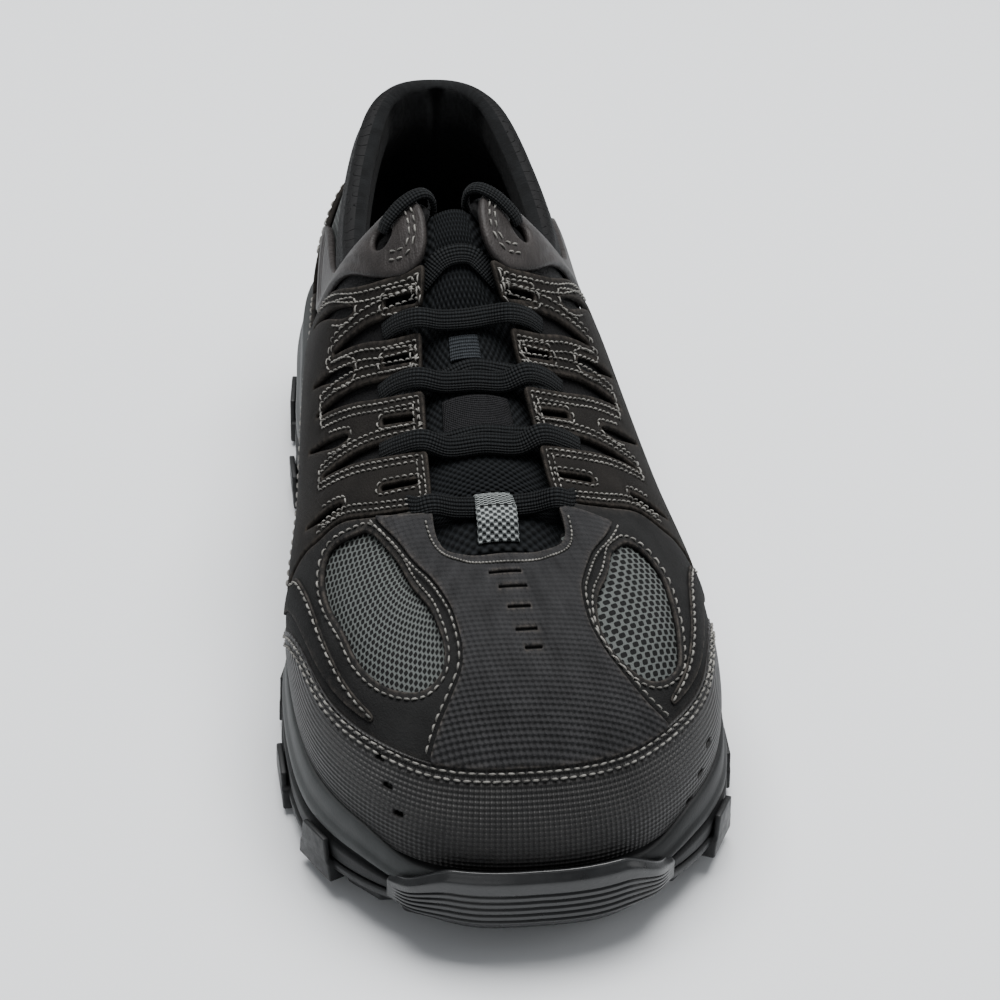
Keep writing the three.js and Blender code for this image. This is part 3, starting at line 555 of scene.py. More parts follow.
class Finish:
    """A Principled material and the nodes that lead to it."""

    def __init__(self, name, color, roughness, **sockets):
        self.material = bpy.data.materials.new(name)
        self.material.use_nodes = True
        self.tree = self.material.node_tree
        self.shader = self.tree.nodes["Principled BSDF"]
        self.set("Base Color", (*color, 1))
        self.set("Roughness", roughness)
        for socket, value in sockets.items():
            self.set(socket.replace("_", " "), value)
        self.normal = None

    def set(self, socket, value):
        if isinstance(value, bpy.types.NodeSocket):
            self.tree.links.new(value, self.shader.inputs[socket])
        else:
            self.shader.inputs[socket].default_value = value

    def feed(self, node, inputs):
        for key, value in inputs.items():
            if isinstance(value, bpy.types.NodeSocket):
                self.tree.links.new(value, node.inputs[key])
            else:
                node.inputs[key].default_value = value

    def wrap(self, scale=(1, 1, 1), turn=0.0):
        """The place on the shoe in millimetres, scaled and turned."""
        source = self.tree.nodes.new("ShaderNodeAttribute")
        source.attribute_name = "wrap"
        mapping = self.tree.nodes.new("ShaderNodeMapping")
        self.feed(mapping, {"Vector": source.outputs["Vector"], "Scale": scale, "Rotation": (0, 0, turn)})
        return mapping.outputs["Vector"]

    def place(self, turn=0.0):
        """The place in the frame in millimetres, for pieces without wrap."""
        source = self.tree.nodes.new("ShaderNodeTexCoord")
        mapping = self.tree.nodes.new("ShaderNodeMapping")
        self.feed(mapping, {"Vector": source.outputs["Object"], "Scale": (1 / MM,) * 3,
                            "Rotation": (0, 0, turn)})
        return mapping.outputs["Vector"]

    def net(self, turn):
        """Even millimetres over the toe: back along the shoe and down its sides, then turned."""
        node = self.tree.nodes.new("ShaderNodeSeparateXYZ")
        self.feed(node, {"Vector": self.place()})
        down = self.math("SUBTRACT", self.math("ABSOLUTE", node.outputs["X"]), node.outputs["Z"])
        down = self.math("MULTIPLY", down, 0.8)
        across = self.math("MULTIPLY", down, -math.sin(turn)), self.math("MULTIPLY", down, math.cos(turn))
        shares = math.cos(turn), math.sin(turn)
        return [self.math("MULTIPLY_ADD", node.outputs["Y"], share, part)
                for share, part in zip(shares, across)]

    def pick(self, share, off, on):
        """off where share is 0 and on where it is 1."""
        rest = self.math("SUBTRACT", 1.0, share)
        return self.math("ADD", self.math("MULTIPLY", on, share), self.math("MULTIPLY", off, rest))

    def attribute(self, name):
        source = self.tree.nodes.new("ShaderNodeAttribute")
        source.attribute_name = name
        return source.outputs["Fac"]

    def split(self, vector):
        node = self.tree.nodes.new("ShaderNodeSeparateXYZ")
        self.feed(node, {"Vector": vector})
        return node.outputs["X"], node.outputs["Y"]

    def math(self, operation, a, b=0.0, c=0.0):
        node = self.tree.nodes.new("ShaderNodeMath")
        node.operation = operation
        self.feed(node, {0: a, 1: b, 2: c})
        return node.outputs[0]

    def wave(self, x, period):
        """A sine along x with the given period."""
        return self.math("SINE", self.math("MULTIPLY", x, 2 * math.pi / period))

    def noise(self, vector, scale, detail=3.0):
        node = self.tree.nodes.new("ShaderNodeTexNoise")
        self.feed(node, {"Vector": vector, "Scale": scale, "Detail": detail, "Roughness": 0.55})
        return node.outputs["Fac"]

    def cells(self, vector, scale):
        node = self.tree.nodes.new("ShaderNodeTexVoronoi")
        self.feed(node, {"Vector": vector, "Scale": scale})
        return node.outputs["Distance"]

    def ramp(self, value, *stops):
        """A colour ramp through (position, colour) stops."""
        node = self.tree.nodes.new("ShaderNodeValToRGB")
        while len(node.color_ramp.elements) < len(stops):
            node.color_ramp.elements.new(0.5)
        for element, (position, color) in zip(node.color_ramp.elements, stops):
            element.position = position
            element.color = (*color, 1)
        self.feed(node, {"Fac": value})
        return node.outputs["Color"]

    def range(self, value, low, high, to_low=0.0, to_high=1.0):
        node = self.tree.nodes.new("ShaderNodeMapRange")
        self.feed(node, {"Value": value, 1: low, 2: high, 3: to_low, 4: to_high})
        return node.outputs["Result"]

    def blend(self, share, a, b, mode="MIX"):
        node = self.tree.nodes.new("ShaderNodeMix")
        node.data_type = "RGBA"
        node.blend_type = mode
        to_color = [(*c, 1) if isinstance(c, tuple) else c for c in (a, b)]
        self.feed(node, {0: share, 6: to_color[0], 7: to_color[1]})
        return node.outputs[2]

    def bump(self, height, depth):
        """Relief of the given depth in millimetres, on top of any relief before it."""
        node = self.tree.nodes.new("ShaderNodeBump")
        self.feed(node, {"Height": height, "Distance": depth * MM, "Strength": 1.0})
        if self.normal is not None:
            self.feed(node, {"Normal": self.normal})
        self.normal = node.outputs["Normal"]
        self.set("Normal", self.normal)


# %% Leathers
WEAVE_TURN = math.radians(40)


def shades(color, low, high):
    """A darker and a lighter shade of one colour."""
    return tuple(low * c for c in color), tuple(high * c for c in color)


def nubuck(name, color, emboss=0.0, rubbed=srgb(92, 86, 80)):
    """Fine buffed leather. emboss adds a crossed weave, strongest near the toe cap, with painted highlight
    and shade.
    """
    made = Finish(name, color, 0.82, Specular_IOR_Level=0.13)
    spot = made.wrap()
    grain = made.noise(spot, 2.4, 4.0)
    mottle = made.math("ADD", made.math("MULTIPLY", made.noise(spot, 0.09), 0.6),
                       made.math("MULTIPLY", grain, 0.4))
    dark, light = shades(color, 0.68, 1.38)
    tint = made.ramp(mottle, (0.35, dark), (0.65, light))
    made.bump(grain, 0.25)
    made.bump(made.cells(spot, 1.1), 0.09)
    if emboss:
        a, b = made.split(made.place(turn=WEAVE_TURN))
        along, up = made.split(spot)
        weave = made.math("MULTIPLY", made.wave(a, 2.6), made.wave(b, 2.0))
        weave = made.math("MULTIPLY", weave, made.range(up, 88, 48, 0.25, 1.0))
        # The weave's ridges are painted lighter, a painted highlight, and its hollows darker, a painted
        # shade.
        tint = made.blend(made.range(weave, 0.2, 0.9, 0.0, 0.45), tint, light)
        tint = made.blend(made.range(weave, -0.2, -0.9, 0.0, 0.7), tint, shades(color, 0.3, 1)[0])
        made.bump(weave, emboss)
    # Cut edges, where tone is 1, are rubbed pale here and there.
    wear = made.math("MULTIPLY", made.attribute("tone"), made.range(made.noise(spot, 0.5), 0.35, 0.65))
    made.set("Base Color", made.blend(made.math("MULTIPLY", wear, 0.4), tint, rubbed))
    return made.material


def cap_leather():
    """Coated leather with embossed ribs along the sole, which turn to dots over the toe, with painted shade
    in the grooves.
    """
    made = Finish("toe_cap_leather", srgb(36, 35, 35), 0.48, Specular_IOR_Level=0.3,
                  Coat_Weight=0.06, Coat_Roughness=0.4)
    spot = made.wrap()
    along, up = made.split(spot)
    ribs = made.wave(up, 1.7)
    dots = made.wave(along, 1.7)
    middle = made.range(made.math("ABSOLUTE", along), 80, 30)
    relief = made.math("ADD", ribs, made.math("MULTIPLY", dots, middle))
    made.bump(relief, 0.3)
    made.bump(made.noise(spot, 0.8), 0.12)
    cloud = made.ramp(made.noise(spot, 0.08), (0.35, srgb(27, 26, 26)), (0.7, srgb(41, 40, 39)))
    # The grooves between ribs and dots are painted nearly black, a painted shade.
    made.set("Base Color", made.blend(made.range(relief, 0.6, -1.0, 0.0, 0.75), cloud, srgb(9, 9, 9)))
    made.set("Roughness", made.range(relief, -1, 1.5, 0.66, 0.4))
    return made.material


def smooth_leather(name, color):
    """Corrected-grain leather, smooth with faint wrinkles whose hollows carry painted shade."""
    made = Finish(name, color, 0.55, Specular_IOR_Level=0.2)
    spot = made.wrap()
    cloud = made.noise(spot, 0.12)
    dark, light = shades(color, 0.72, 1.25)
    creases = made.noise(made.wrap(scale=(0.35, 1, 1)), 0.5, 4.0)
    tint = made.ramp(cloud, (0.35, dark), (0.7, light))
    # The hollows of the wrinkles are painted darker, a painted shade.
    made.set("Base Color", made.blend(made.range(creases, 0.45, 0.3, 0.0, 0.6), tint, dark))
    made.bump(made.cells(spot, 1.6), 0.1)
    made.bump(creases, 0.4)
    return made.material


# %% Cloths
NET_TURN = math.radians(28)
NET_COLUMN, NET_HOLE = 3.8, 2.5
WINDOWS_BACK = 3.2


def mesh_and_backing():
    """The upper's cloth: open grey mesh where tone is 1, plain black backing where it is 0."""
    made = Finish("quarter_mesh", srgb(104, 108, 106), 0.7, Specular_IOR_Level=0.15)
    # In the windows of the vamp the net has its own even measure, behind them that of the side.
    around, _ = made.split(made.wrap())
    window = made.math("LESS_THAN", made.math("ABSOLUTE", around), WINDOWS_BACK * PITCH)
    side_net = made.split(made.wrap(turn=NET_TURN))
    a, b = (made.pick(window, off, on) for off, on in zip(side_net, made.net(NET_TURN)))
    # Every second column of holes is shifted by half a hole, as in a knitted spacer.
    column = made.wave(a, NET_COLUMN)
    shift = made.math("MULTIPLY", made.math("SIGN", column), math.pi / 2)
    holes = made.math("SINE", made.math("ADD", made.math("MULTIPLY", b, 2 * math.pi / NET_HOLE), shift))
    open_part = made.math("MULTIPLY", made.math("ABSOLUTE", column), made.range(holes, -0.8, 0.5))
    hole = made.range(open_part, 0.22, 0.36)
    yarn = made.noise(made.wrap(scale=(1, 3, 1), turn=NET_TURN), 3.0)
    thread = made.ramp(yarn, (0.3, srgb(50, 53, 52)), (0.7, srgb(100, 104, 102)))
    cloth = made.blend(hole, thread, srgb(7, 8, 8))
    made.set("Base Color", made.blend(made.attribute("tone"), srgb(11, 11, 12), cloth))
    made.bump(made.math("SUBTRACT", 1.0, hole), 0.5)
    made.bump(yarn, 0.15)
    return made.material


def lining(name="collar_lining", color=srgb(11, 12, 13)):
    """Brushed black lining."""
    made = Finish(name, color, 0.95, Sheen_Weight=0.03, Sheen_Roughness=0.6, Specular_IOR_Level=0.12)
    spot = made.wrap()
    dark, light = shades(color, 0.6, 1.7)
    made.set("Base Color", made.ramp(made.noise(spot, 0.35, 4.0), (0.35, dark), (0.7, light)))
    made.bump(made.noise(spot, 3.2, 2.0), 0.2)
    made.bump(made.noise(spot, 0.25), 0.5)
    return made.material


def spacer_mesh():
    """Fine black spacer mesh with pinholes."""
    made = Finish("tongue_mesh", srgb(20, 21, 23), 0.85, Specular_IOR_Level=0.1)
    a, b = made.split(made.wrap())
    lattice = made.math("MULTIPLY", made.wave(a, 2.4), made.wave(b, 2.6))
    made.bump(lattice, 0.3)
    pattern = made.range(lattice, -1, 1)
    made.set("Base Color", made.ramp(pattern, (0.3, srgb(20, 22, 24)), (0.8, srgb(4, 5, 6))))
    return made.material


def woven(name, dark, light, pitch):
    """A flat tape or lace: diagonal braid, painted lighter on its raised crossings as a painted highlight.
    """
    made = Finish(name, dark, 0.75, Specular_IOR_Level=0.15)
    a, b = made.split(made.wrap(turn=math.radians(45)))
    braid = made.math("MULTIPLY", made.wave(a, pitch), made.wave(b, pitch))
    # The light colour is a painted highlight on the raised crossings of the braid.
    made.set("Base Color", made.ramp(made.range(braid, -1, 1), (0.25, dark), (0.9, light)))
    made.bump(braid, 0.35)
    made.bump(made.noise(made.wrap(), 1.6), 0.2)
    return made.material


def checker_tape():
    """Grey and black webbing with a block weave."""
    made = Finish("keeper_webbing", srgb(130, 134, 134), 0.75, Specular_IOR_Level=0.3)
    a, b = made.split(made.wrap())
    blocks = made.math("MULTIPLY", made.wave(a, 1.7), made.wave(b, 1.7))
    made.set("Base Color", made.ramp(made.range(blocks, -0.5, 0.5), (0.3, srgb(44, 47, 48)),
                                     (0.75, srgb(140, 145, 144))))
    made.bump(blocks, 0.4)
    return made.material


def thread_finish():
    made = Finish("stitch_thread", srgb(110, 108, 104), 0.6, Specular_IOR_Level=0.35)
    made.set("Base Color", made.ramp(made.noise(made.place(), 0.25), (0.35, srgb(72, 71, 68)),
                                     (0.65, srgb(126, 124, 119))))
    return made.material


# %% Rubber and foam
def rubber(name="black_rubber", rough=0.5, coat=0.0):
    """Moulded rubber with a faint mottle. A coat makes it as glossy as the bumper."""
    made = Finish(name, srgb(24, 24, 26), rough, Specular_IOR_Level=0.4, Coat_Weight=coat,
                  Coat_Roughness=0.22)
    spot = made.place()
    made.set("Base Color", made.ramp(made.noise(spot, 0.05), (0.35, srgb(14, 15, 16)),
                                     (0.7, srgb(25, 26, 27))))
    made.set("Roughness", made.range(made.noise(spot, 0.4), 0.3, 0.7, rough - 0.08, rough + 0.1))
    made.bump(made.noise(spot, 1.5), 0.06)
    return made.material


def foam():
    """Moulded foam in two greys, by tone."""
    made = Finish("midsole_foam", srgb(92, 95, 97), 0.6, Specular_IOR_Level=0.3)
    spot = made.place()
    two = made.blend(made.attribute("tone"), srgb(18, 19, 20), srgb(54, 56, 56))
    mottle = made.ramp(made.noise(spot, 0.12), (0.3, (0.8, 0.8, 0.8)), (0.7, (1.1, 1.1, 1.1)))
    made.set("Base Color", made.blend(1.0, two, mottle, "MULTIPLY"))
    made.bump(made.noise(spot, 1.2), 0.1)
    return made.material

# %% [markdown]
# Camera, floor and light.
# The photograph was solved for its camera: it stands in front of and above the pair. Here the camera
# keeps that standpoint and roll, turned a few degrees to put the one shoe in the middle of the frame
# and moved in a little by its lens. The floor is pale and plain, and the light is a large soft source
# overhead with weaker fills, as over a white table.

# %% Camera
CAMERA_AT = np.array([-88.3, -738.3, 557.8])
CAMERA_YAW = 0.045
CAMERA_PITCH = 0.588
CAMERA_ROLL = -0.027
PHOTO_FOCAL = 2679
FRAME_SIZE = 1000
SHOE_IN_PHOTO = (690, 553)
FOCAL = 3020
SENSOR = 36

ahead = np.array([math.sin(CAMERA_YAW) * math.cos(CAMERA_PITCH),
                  math.cos(CAMERA_YAW) * math.cos(CAMERA_PITCH), -math.sin(CAMERA_PITCH)])
level = np.array([math.cos(CAMERA_YAW), -math.sin(CAMERA_YAW), 0])
above = np.cross(level, ahead)
right = level * math.cos(CAMERA_ROLL) + above * math.sin(CAMERA_ROLL)
upright = above * math.cos(CAMERA_ROLL) - level * math.sin(CAMERA_ROLL)
offset = (np.array(SHOE_IN_PHOTO) - FRAME_SIZE / 2) / PHOTO_FOCAL
aim = unit(ahead + right * offset[0] - upright * offset[1])
upright = unit(upright - aim * (upright @ aim))
right = np.cross(aim, upright)

camera_data = bpy.data.cameras.new("portrait_camera")
camera_data.sensor_width = SENSOR
camera_data.lens = SENSOR * FOCAL / FRAME_SIZE
camera_data.clip_start = 0.01
camera = bpy.data.objects.new("portrait_camera", camera_data)
bpy.context.scene.collection.objects.link(camera)
matrix = np.eye(4)
matrix[:3, 0], matrix[:3, 1], matrix[:3, 2] = right, upright, -aim
matrix[:3, 3] = (CAMERA_AT - MIDDLE) * MM
camera.matrix_world = Matrix(matrix.tolist())
bpy.context.scene.camera = camera


# %% Floor and lights
FLOOR_REACH = 4


def area_light(name, place, size, power):
    data = bpy.data.lights.new(name, "AREA")
    data.shape = "RECTANGLE"
    data.size, data.size_y = size
    data.energy = power
    light = bpy.data.objects.new(name, data)
    bpy.context.scene.collection.objects.link(light)
    light.location = place
    light.rotation_euler = (Vector((0, 0, 0.05)) - Vector(place)).to_track_quat("-Z", "Y").to_euler()


area_light("overhead_softbox", (0.1, 0.35, 1.5), (1.5, 1.0), 60)
area_light("front_fill", (-0.7, -1.5, 0.9), (1.2, 0.9), 3)
area_light("side_fill", (1.4, -0.2, 0.8), (0.8, 0.8), 3)

floor_mesh = bpy.data.meshes.new("floor")
corners = [(x * FLOOR_REACH, y * FLOOR_REACH, 0) for x, y in ((-1, -1), (1, -1), (1, 1), (-1, 1))]
floor_mesh.from_pydata(corners, [], [(0, 1, 2, 3)])
floor = bpy.data.objects.new("floor", floor_mesh)
bpy.context.scene.collection.objects.link(floor)
floor_mesh.materials.append(Finish("floor_paper", srgb(222, 224, 226), 0.6).material)
floor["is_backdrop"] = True

world = bpy.data.worlds.new("studio")
world.use_nodes = True
background = world.node_tree.nodes["Background"].inputs
background["Color"].default_value = (*srgb(226, 229, 233), 1)
background["Strength"].default_value = 0.4
bpy.context.scene.world = world

# %% [markdown]
# The upper.
# The wall is one hollow shell: mesh and backing outside, padded black lining inside, a rolled rim round
# the ankle and a lasting margin turned in underneath. A real collar is foam between two cloths, so it
# swells between its seams, and it has a soft crease at the back where it is folded.

# %% The shell
LASTING_MARGIN = 9
COLLAR_PAD = 5
THROAT_BACK = 0.13
SHELL_COLUMNS = 352
RIM_STEPS = 8


def wall_top(row):
    r = row_of(row)
    return 1 - THROAT_BACK * (smooth(2, 2.5, r) - smooth(4.66, 4.95, r))


def wall_thick(row, up):
    return WALL + COLLAR_PAD * smooth(5.2, 6.2, row_of(row)) * smooth(0.45, 0.85, up)


def outer_swell(row, up):
    """The outer cloth stands out a little between its seams, at the windows and round the ankle."""
    r = row_of(row)
    window = smooth(1.1, 1.6, r) * (1 - smooth(2.4, 2.8, r))
    window = window * smooth(0.45, 0.6, up) * (1 - smooth(0.72, 0.84, up))
    roll = np.exp(-((up - 0.9) / 0.06) ** 2) - 0.6 * np.exp(-((up - 0.8) / 0.012) ** 2)
    return 0.7 * window + 1.3 * smooth(5.7, 6.1, r) * roll


def lining_swell(row, up):
    """The lining's folds: two soft rolls and the crease at the back."""
    r = row_of(row)
    ankle = smooth(5.4, 6.4, r)
    rolls = np.exp(-((up - 0.86) / 0.09) ** 2) - 0.7 * np.exp(-((up - 0.66) / 0.03) ** 2)
    crease = np.exp(-((r - HEEL) / 0.07) ** 2) * smooth(0.45, 0.8, up)
    pull = np.exp(-((r - 7.1) / 0.12) ** 2) * smooth(0.5, 0.9, up)
    return ankle * (1.2 * rolls - 3.0 * crease - 0.8 * pull)


def shell_tone(row, up):
    """1 where the open mesh shows, 0 on the plain backing."""
    r = row_of(row)
    windows = smooth(0.75, 0.85, r) * (1 - smooth(2.95, 3.05, r))
    quarters = smooth(5.3, 5.36, r) * (1 - smooth(7.5, 7.6, r)) * (1 - smooth(0.86, 0.87, up))
    return np.clip(windows + quarters, 0, 1)


def make_shell():
    rows = np.arange(SHELL_COLUMNS) * SECTIONS / SHELL_COLUMNS
    top = wall_top(rows)
    rings, wraps, tones = [], [], []

    def add(points, up, tone=0.0, depth=0.0):
        rings.append(points)
        wraps.append(np.stack([rows * PITCH, up * HEIGHT, 0 * rows + depth], 1))
        tones.append(0 * rows + tone)

    for share in np.linspace(0, 1, 46):
        up = top * share
        add(over(rows, up, outer_swell(rows, up)), up, shell_tone(rows, up))
    thick = wall_thick(rows, top)
    centre = over(rows, top, -thick / 2)
    across = skin_normal(rows, top)
    lift = unit(skin(rows, top) - skin(rows, top - 0.01))
    for turn in np.linspace(0, math.pi, RIM_STEPS + 1)[1:-1]:
        side = across * (np.cos(turn) * thick / 2)[:, None]
        add(centre + side + lift * (0.6 * np.sin(turn) * thick / 2)[:, None], top + 0.03 * math.sin(turn))
    inner_first = len(rings) - RIM_STEPS // 2
    for share in np.linspace(1, 0, 30):
        up = top * share
        add(over(rows, up, -wall_thick(rows, up) - lining_swell(rows, up)), 1.2 + (top - up), depth=5.0)
    foot = skin(rows, 0 * rows)
    inward = -outward(rows)
    raised = [0, 0, WALL]
    add(foot + inward * WALL + raised, 2.3 + 0 * rows)
    add(foot + inward * LASTING_MARGIN + raised, 2.4 + 0 * rows)
    add(foot + inward * LASTING_MARGIN, 2.5 + 0 * rows)
    count = len(rings)
    points = np.stack(rings, 1).reshape(-1, 3)
    wrap = np.stack(wraps, 1).reshape(-1, 3)
    tone = np.stack(tones, 1).ravel()
    faces = grid_faces(SHELL_COLUMNS, count, close_rows=True, close_columns=True)
    slots = [1 if k % count >= inner_first else 0 for k in range(len(faces))]
    return new_mesh("upper_shell", points, faces, wrap, tone, slots)


add_piece("upper_shell", make_shell(), [mesh_and_backing(), lining()], ["upper"])

# %% [markdown]
# The sole.
# A foam midsole with a stepped side sits on a black rubber outsole, whose lugs reach out past the side
# and whose teeth climb it. In front the outsole turns up into a ribbed bumper. The rings of both are
# the plan of the sole, moved out and up by a short profile.

# %% Midsole
SOLE_RING = 220
sole_rows = np.arange(SOLE_RING) * SECTIONS / SOLE_RING
# Share of the height, share of the flare, millimetres up, millimetres out.
SIDE_STEPS = [
    (0, 0.86, 0, 0), (0.03, 0.97, 0, 0), (0.08, 1.01, 0, 0), (0.3, 1.05, 0, 0), (0.36, 1.03, 0, 0),
    (0.4, 0.88, 0, -0.3), (0.43, 0.8, 0, -0.5), (0.49, 0.8, 0, -0.5), (0.53, 0.92, 0, 0), (0.57, 1.0, 0, 0),
    (0.66, 1.0, 0, 0), (0.72, 0.96, 0, 0), (0.76, 0.86, 0, 0), (0.8, 0.82, 0, 0), (0.92, 0.8, 0, 0),
    (1, 0.72, 2.4, 0), (1, 0.6, 3, 0),
]


def rung_faces(first, size, flip):
    """Closes a ring that runs round the foot with rungs from side to side."""
    k = np.arange(size // 2)
    quads = np.stack([k, (k + 1) % size, (size - k - 1) % size, (size - k) % size], 1) + first
    quads = quads[:, ::-1] if flip else quads
    return [list(dict.fromkeys(q)) for q in quads.tolist()]


def ring_stack(rings):
    size = len(rings[0])
    faces = grid_faces(len(rings), size, close_columns=True)
    faces += rung_faces(0, size, True) + rung_faces((len(rings) - 1) * size, size, False)
    return np.vstack(rings), faces


def make_midsole():
    """The upper step is light grey on the inner side and fades to black at the toe and the heel."""
    rings = []
    tones = []
    turn = np.where(sole_rows > SECTIONS / 2, sole_rows - SECTIONS, sole_rows)
    light_side = 0.1 + 0.9 * smooth(-0.2, -1.1, turn) * smooth(-7.8, -6.6, turn)
    # Behind the bumper the foam stays low, so that the toe cap comes down to the rubber.
    sink = np.stack([0 * sole_rows, 0 * sole_rows, -5 * (1 - smooth(0.95, 1.5, row_of(sole_rows)))], 1)
    for up, share, lift, out in SIDE_STEPS:
        ring = side_point(sole_rows, up, flare_at(sole_rows) * share + out) + [0, 0, lift]
        rings.append(ring + sink * up)
        tones.append(float(smooth(0.5, 0.56, up)) * light_side)
    rings.append(side_point(sole_rows, 1, 0 * sole_rows + 1.5) + [0, 0, LIP_HEIGHT] + sink)
    rings.append(side_point(sole_rows, 1, 0 * sole_rows + 2 * GAP) - [0, 0, 2 * GAP])
    tones += [np.zeros(SOLE_RING)] * 2
    points, faces = ring_stack(rings)
    return new_mesh("midsole_foam", points, faces, tone=np.concatenate(tones))


add_piece("midsole_foam", make_midsole(), [foam()], ["midsole"])

# %% Outsole: plate, lugs and teeth
LUG_STATIONS = 12
LUG_CELLS = [(-1, -0.46), (-0.32, 0.32), (0.46, 1)]
TREAD_FRONT, TREAD_BACK = 0.75, 7.35
LUG_SHARE, LUG_INSET, LUG_TAPER, LUG_ROOT = 0.68, 1.5, 0.86, 0.8
TEETH, TEETH_FRONT, TEETH_BACK = 8, 1.85, 7.3
TOOTH_THICK, TOOTH_HALF = 1.8, 0.2
TOOTH_CLIMB = (7, 4)
# Millimetres out and up from the plan, up the edge of the plate.
PLATE_STEPS = [(-2.5, 4.5), (-0.4, 4.9), (0.4, 5.3), (0.6, 6), (0.6, 7), (0.3, 7.5), (-0.5, 7.7)]
black = rubber()


def bevel(piece, width, segments=2):
    modifier = piece.modifiers.new("edge", "BEVEL")
    modifier.width = width * MM
    modifier.segments = segments
    modifier.limit_method = "ANGLE"
    modifier.angle_limit = math.radians(35)


def make_plate():
    rings = []
    for out, height in PLATE_STEPS:
        ring = plan_point(sole_rows, 0 * sole_rows + out)
        ring[:, 2] = ground(ring[:, 1]) + height
        rings.append(ring)
    points, faces = ring_stack(rings)
    return new_mesh("outsole_plate", points, faces)


def lug_corners(rows, shares):
    """The eight corners of a lug: smaller on the ground, wider where it joins the plate."""
    def edge_point(row, share):
        inner, outer = (plan_point(np.array([side * row]), np.array([-LUG_INSET])) for side in (-1, 1))
        return mix(inner, outer, (share + 1) / 2)[0]

    plan_corners = np.array([edge_point(rows[i], shares[j]) for i, j in ((0, 0), (0, 1), (1, 1), (1, 0))])
    centre = edge_point(sum(rows) / 2, sum(shares) / 2)
    low = centre + (plan_corners - centre) * LUG_TAPER
    low[:, 2] = ground(low[:, 1])
    high = plan_corners.copy()
    high[:, 2] = ground(high[:, 1]) + LUG_DEPTH + LUG_ROOT
    return np.vstack([low, high])


BLOCK = [(0, 1, 5, 4), (1, 2, 6, 5), (2, 3, 7, 6), (3, 0, 4, 7), (3, 2, 1, 0), (4, 5, 6, 7)]


def make_lugs():
    points, faces = [], []
    for k in range(LUG_STATIONS):
        start = mix(TREAD_FRONT, TREAD_BACK, k / LUG_STATIONS)
        length = LUG_SHARE * (TREAD_BACK - TREAD_FRONT) / LUG_STATIONS
        for column, shares in enumerate(LUG_CELLS):
            shift = 0.5 * length if column == 1 else 0
            faces += [[8 * len(points) + i for i in face] for face in BLOCK]
            points.append(lug_corners((start + shift, start + shift + length), shares))
    return new_mesh("outsole_lugs", np.vstack(points), faces)


def make_teeth():
    """Teeth of the outsole that climb the side of the midsole."""
    points, faces = [], []
    for k in range(TEETH):
        middle = mix(TEETH_FRONT, TEETH_BACK, k / (TEETH - 1))
        climb = TOOTH_CLIMB[k % 2]
        for side in (-1, 1):
            row = np.array([side * middle])
            rise = float((deck(skin(row, 0)[0, 1]) - ground(skin(row, 0)[0, 1])))
            steps = [(1.2 - rise, -3), (-3 * GAP, -2.5), (0, GAP), (climb, GAP)]
            rings = []
            for t, (height, inner) in enumerate(steps):
                rows = side * middle + np.array([-TOOTH_HALF, TOOTH_HALF]) * (1 - 0.35 * t / 3)
                flare = flare_at(rows) * SIDE_FLARE
                outer_edge = side_point(rows, 0, flare + GAP + TOOTH_THICK)
                inner_edge = side_point(rows, 0, flare + inner)
                ring = np.vstack([outer_edge, inner_edge[::-1]])
                ring[:, 2] += height
                rings.append(ring)
            first = sum(len(p) for p in points)
            points.append(np.vstack(rings))
            faces += grid_faces(4, 4, close_columns=True, first=first)
            faces += fan(range(first, first + 4), flip=True) + fan(range(first + 12, first + 16))
    return new_mesh("outsole_teeth", np.vstack(points), faces)


add_piece("outsole_plate", make_plate(), [black], ["outsole"])
bevel(add_piece("outsole_lugs", make_lugs(), [black]), 0.6)
bevel(add_piece("outsole_teeth", make_teeth(), [black]), 1.1, 3)

# %% Toe bumper
RAND_REACH = 1.15
RIB_DEPTH = 0.9
GROOVES = 6


def bumper_point(row, t, out):
    foot = skin(row, 0 * row)
    away = np.abs(row) / RAND_REACH
    shoulder = 1 - smooth(0.55, 1, away) * 0.5
    low = ground(foot[..., 1]) + LUG_DEPTH * (0.4 + 0.9 * smooth(0.35, 1, away))
    point = foot + outward(row) * (flare_at(row) * SIDE_FLARE + out)[..., None]
    point[..., 2] = mix(low, mix(low, foot[..., 2] + LIP_HEIGHT - 1, shoulder), t)
    return point


def make_bumper():
    """A sheet with a rolled top edge and fine grooves across its lower two thirds."""
    s = np.linspace(-1, 1, 129)
    t = np.linspace(0, 1, 91)
    row, up = np.meshgrid(s * RAND_REACH, t, indexing="ij")
    away = np.abs(row) / RAND_REACH
    groove = np.clip(np.cos(2 * math.pi * up / (0.66 / GROOVES)), 0, 1) ** 2
    field = smooth(0.02, 0.06, up) * (1 - smooth(0.66, 0.72, up)) * (1 - smooth(0.82, 0.97, away))
    tuck = 2.4 * smooth(0.25, 0, up) ** 2 + 1.8 * smooth(0.8, 1, up) ** 2
    end = 2.2 * smooth(0.72, 1, away) ** 2
    outer = bumper_point(row, up, GAP + RAND_THICK - 0.85 * RIB_DEPTH * groove * field - tuck - end)
    inner = bumper_point(row, up, np.where(up < 0.2, -2.0, GAP - 0.5 * end))
    points = np.vstack([outer.reshape(-1, 3), inner.reshape(-1, 3)])
    return closed_sheet("toe_bumper", points, row.shape)


